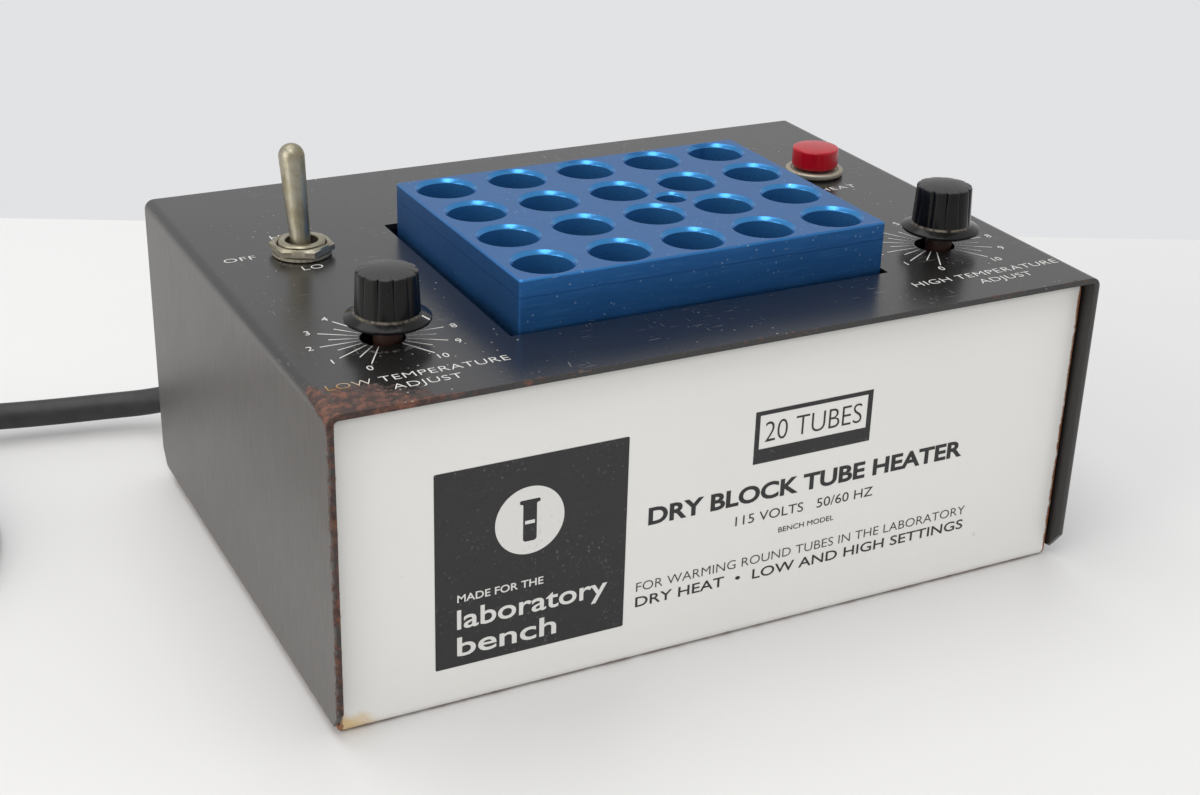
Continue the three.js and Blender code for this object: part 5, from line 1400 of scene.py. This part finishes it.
def front_print():
    """The dark square with its plain emblem, a boxed tube count, and lines of plain words."""
    box = pierced(oblong((5.0, 46.8), (38.2, 60.6)), [oblong((6.3, 50.6), (36.8, 59.5))], 0, PRINT)
    dark = [
        on_front(bar((-76.6, 10.7), (-28.6, 61.0), 0.4), 0, 0),
        on_front(box, 0, 0),
        on_front(words("20 TUBES", 27.4, 5.4, -0.012), 7.9, 52.3),
        on_front(words("DRY BLOCK TUBE HEATER", 90.2, 4.3, 0.03), -22.8, 36.8),
        on_front(words("115 VOLTS   50/60 HZ", 39.6, 2.6, -0.004), 1.2, 31.0),
        on_front(words("BENCH MODEL", 16.0, 1.4), 13.7, 26.5),
        on_front(words("FOR WARMING ROUND TUBES IN THE LABORATORY", 96.0, 2.5, -0.012), -25.3, 19.2),
        on_front(words("DRY HEAT  •  LOW AND HIGH SETTINGS", 96.0, 2.7, 0.006), -25.4, 15.0),
    ]
    piece("front_dark_print", joined(*dark), BLACK_PRINT)
    pale = [
        *tube_emblem(-53.4, 44.9, 8.6),
        on_front(words("MADE FOR THE", 21.4, 1.9, 0.01), -71.2, 27.6, 0.07),
        on_front(words("laboratory", 38.1, 5.0, 0.012), -71.3, 20.6, 0.07),
        on_front(words("bench", 25.0, 5.0, 0.012), -71.3, 13.4, 0.07),
    ]
    piece("front_pale_print", joined(*pale), WHITE_PRINT)


# ---------------------------------------------------------------- CAD nodes that stay


def finish_inner_nodes():
    """Gives every CAD node that is still shown the finish of what it is made of."""
    finishes = {
        "heating_well": ALUMINIUM,
        "heating_element": MICA,
        "insulation_board": INSULATION,
        "terminal_strip": BROWN_PHENOLIC,
        "line_lead": LEAD_BLACK,
        "lamp_lead": LEAD_BLACK,
        "neutral_lead": LEAD_WHITE,
        "heater_lead": LEAD_WHITE,
        "ground_lead": LEAD_GREEN,
        "low_lead": LEAD_RED,
        "high_lead": LEAD_RED,
        "low_thermostat": BROWN_PHENOLIC,
        "high_thermostat": BROWN_PHENOLIC,
        "low_thermostat_nut": BRASS,
        "high_thermostat_nut": BRASS,
    }
    for name, node in frame["nodes"].items():
        if node.hide_render:
            continue
        finish = ALUMINIUM if name.startswith("bracket_rivet") else finishes.get(name, ZINC)
        node.data.materials.clear()
        node.data.materials.append(finish)


# ---------------------------------------------------------------- surroundings

TABLE_BACK = ((-103.4, 306.5), (318.3, 105.6))  # two points of the table's back edge
TABLE_HALF_LENGTH = 2500
TABLE_DEPTH = 3000
TABLE_THICKNESS = 30
CAMERA_PLACE = (-0.21219, -0.40568, 0.24900)
CAMERA_RIGHT = (0.89215557, -0.45087006, 0.0278321)
CAMERA_FORWARD = (0.41936218, 0.80375785, -0.42202924)
CAMERA_LENS = 56.358


def table():
    """A pale table top: a wide slab whose far side lies along the table's back edge."""
    first, second = np.array(TABLE_BACK)
    along = unit(second - first)
    out = np.array([along[1], -along[0]])
    corners = [first - along * TABLE_HALF_LENGTH, first + along * TABLE_HALF_LENGTH]
    outline = [*(corner + out * TABLE_DEPTH for corner in corners), *corners[::-1]]
    points, faces = prism(outline, -TABLE_THICKNESS, 0)
    mesh = bpy.data.meshes.new("table")
    mesh.from_pydata((points * MM).tolist(), [], faces)
    top = bpy.data.objects.new("table", mesh)
    bpy.context.scene.collection.objects.link(top)
    paint = Paint("table_top", roughness=0.45)
    clouded = paint.blend((0.74, 0.735, 0.725, 1), (0.71, 0.705, 0.695, 1), paint.noise(160, 3))
    paint.feed("Base Color", clouded)
    mesh.materials.append(paint.material)


def area_light(name, place, target, size, power, tint=(1, 1, 1)):
    """A soft square light that looks at a point."""
    data = bpy.data.lights.new(name, "AREA")
    data.energy = power
    data.size = size
    data.color = tint
    light = bpy.data.objects.new(name, data)
    light.location = place
    back = unit(np.array(place, float) - np.array(target, float))
    right = unit(np.cross((0, 1, 0.001), back))
    light.rotation_euler = Matrix(np.array([right, np.cross(back, right), back]).T.tolist()).to_euler()
    bpy.context.scene.collection.objects.link(light)


def studio():
    """A pale world, a large light overhead, a smaller one above the front and a window on the left."""
    world = bpy.data.worlds.new("studio")
    world.use_nodes = True
    background = world.node_tree.nodes["Background"]
    background.inputs["Color"].default_value = (0.80, 0.805, 0.82, 1)
    background.inputs["Strength"].default_value = 0.95
    bpy.context.scene.world = world
    area_light("overhead", (-0.15, 0.35, 1.3), (0, 0, 0), 1.0, 5)
    area_light("front_softbox", (-0.38, -0.55, 1.35), (0, 0, 0), 0.6, 4)
    area_light("left_window", (-1.3, -0.25, 0.55), (0, 0, 0.05), 1.0, 7.5, (1, 0.97, 0.93))
    bpy.context.scene.view_settings.view_transform = "Standard"


def camera():
    """The camera: its axes are right, up and back."""
    data = bpy.data.cameras.new("camera")
    data.lens = CAMERA_LENS
    data.sensor_width = 36
    data.clip_start = 0.01
    right, forward = np.array(CAMERA_RIGHT), np.array(CAMERA_FORWARD)
    up = np.cross(right, forward)
    made = bpy.data.objects.new("camera", data)
    pose = Matrix(np.array([right, up, -forward]).T.tolist()).to_4x4()
    pose.translation = CAMERA_PLACE
    made.matrix_world = pose
    bpy.context.scene.collection.objects.link(made)
    bpy.context.scene.camera = made


camera()
cord()
cover()
pan()
tube_block()
for side in ("low", "high"):
    knob(side)
    shaft(side)
switch_nut()
switch_washer()
switch_body()
lever()
lamp()
top_print()
front_print()
finish_inner_nodes()
table()
studio()
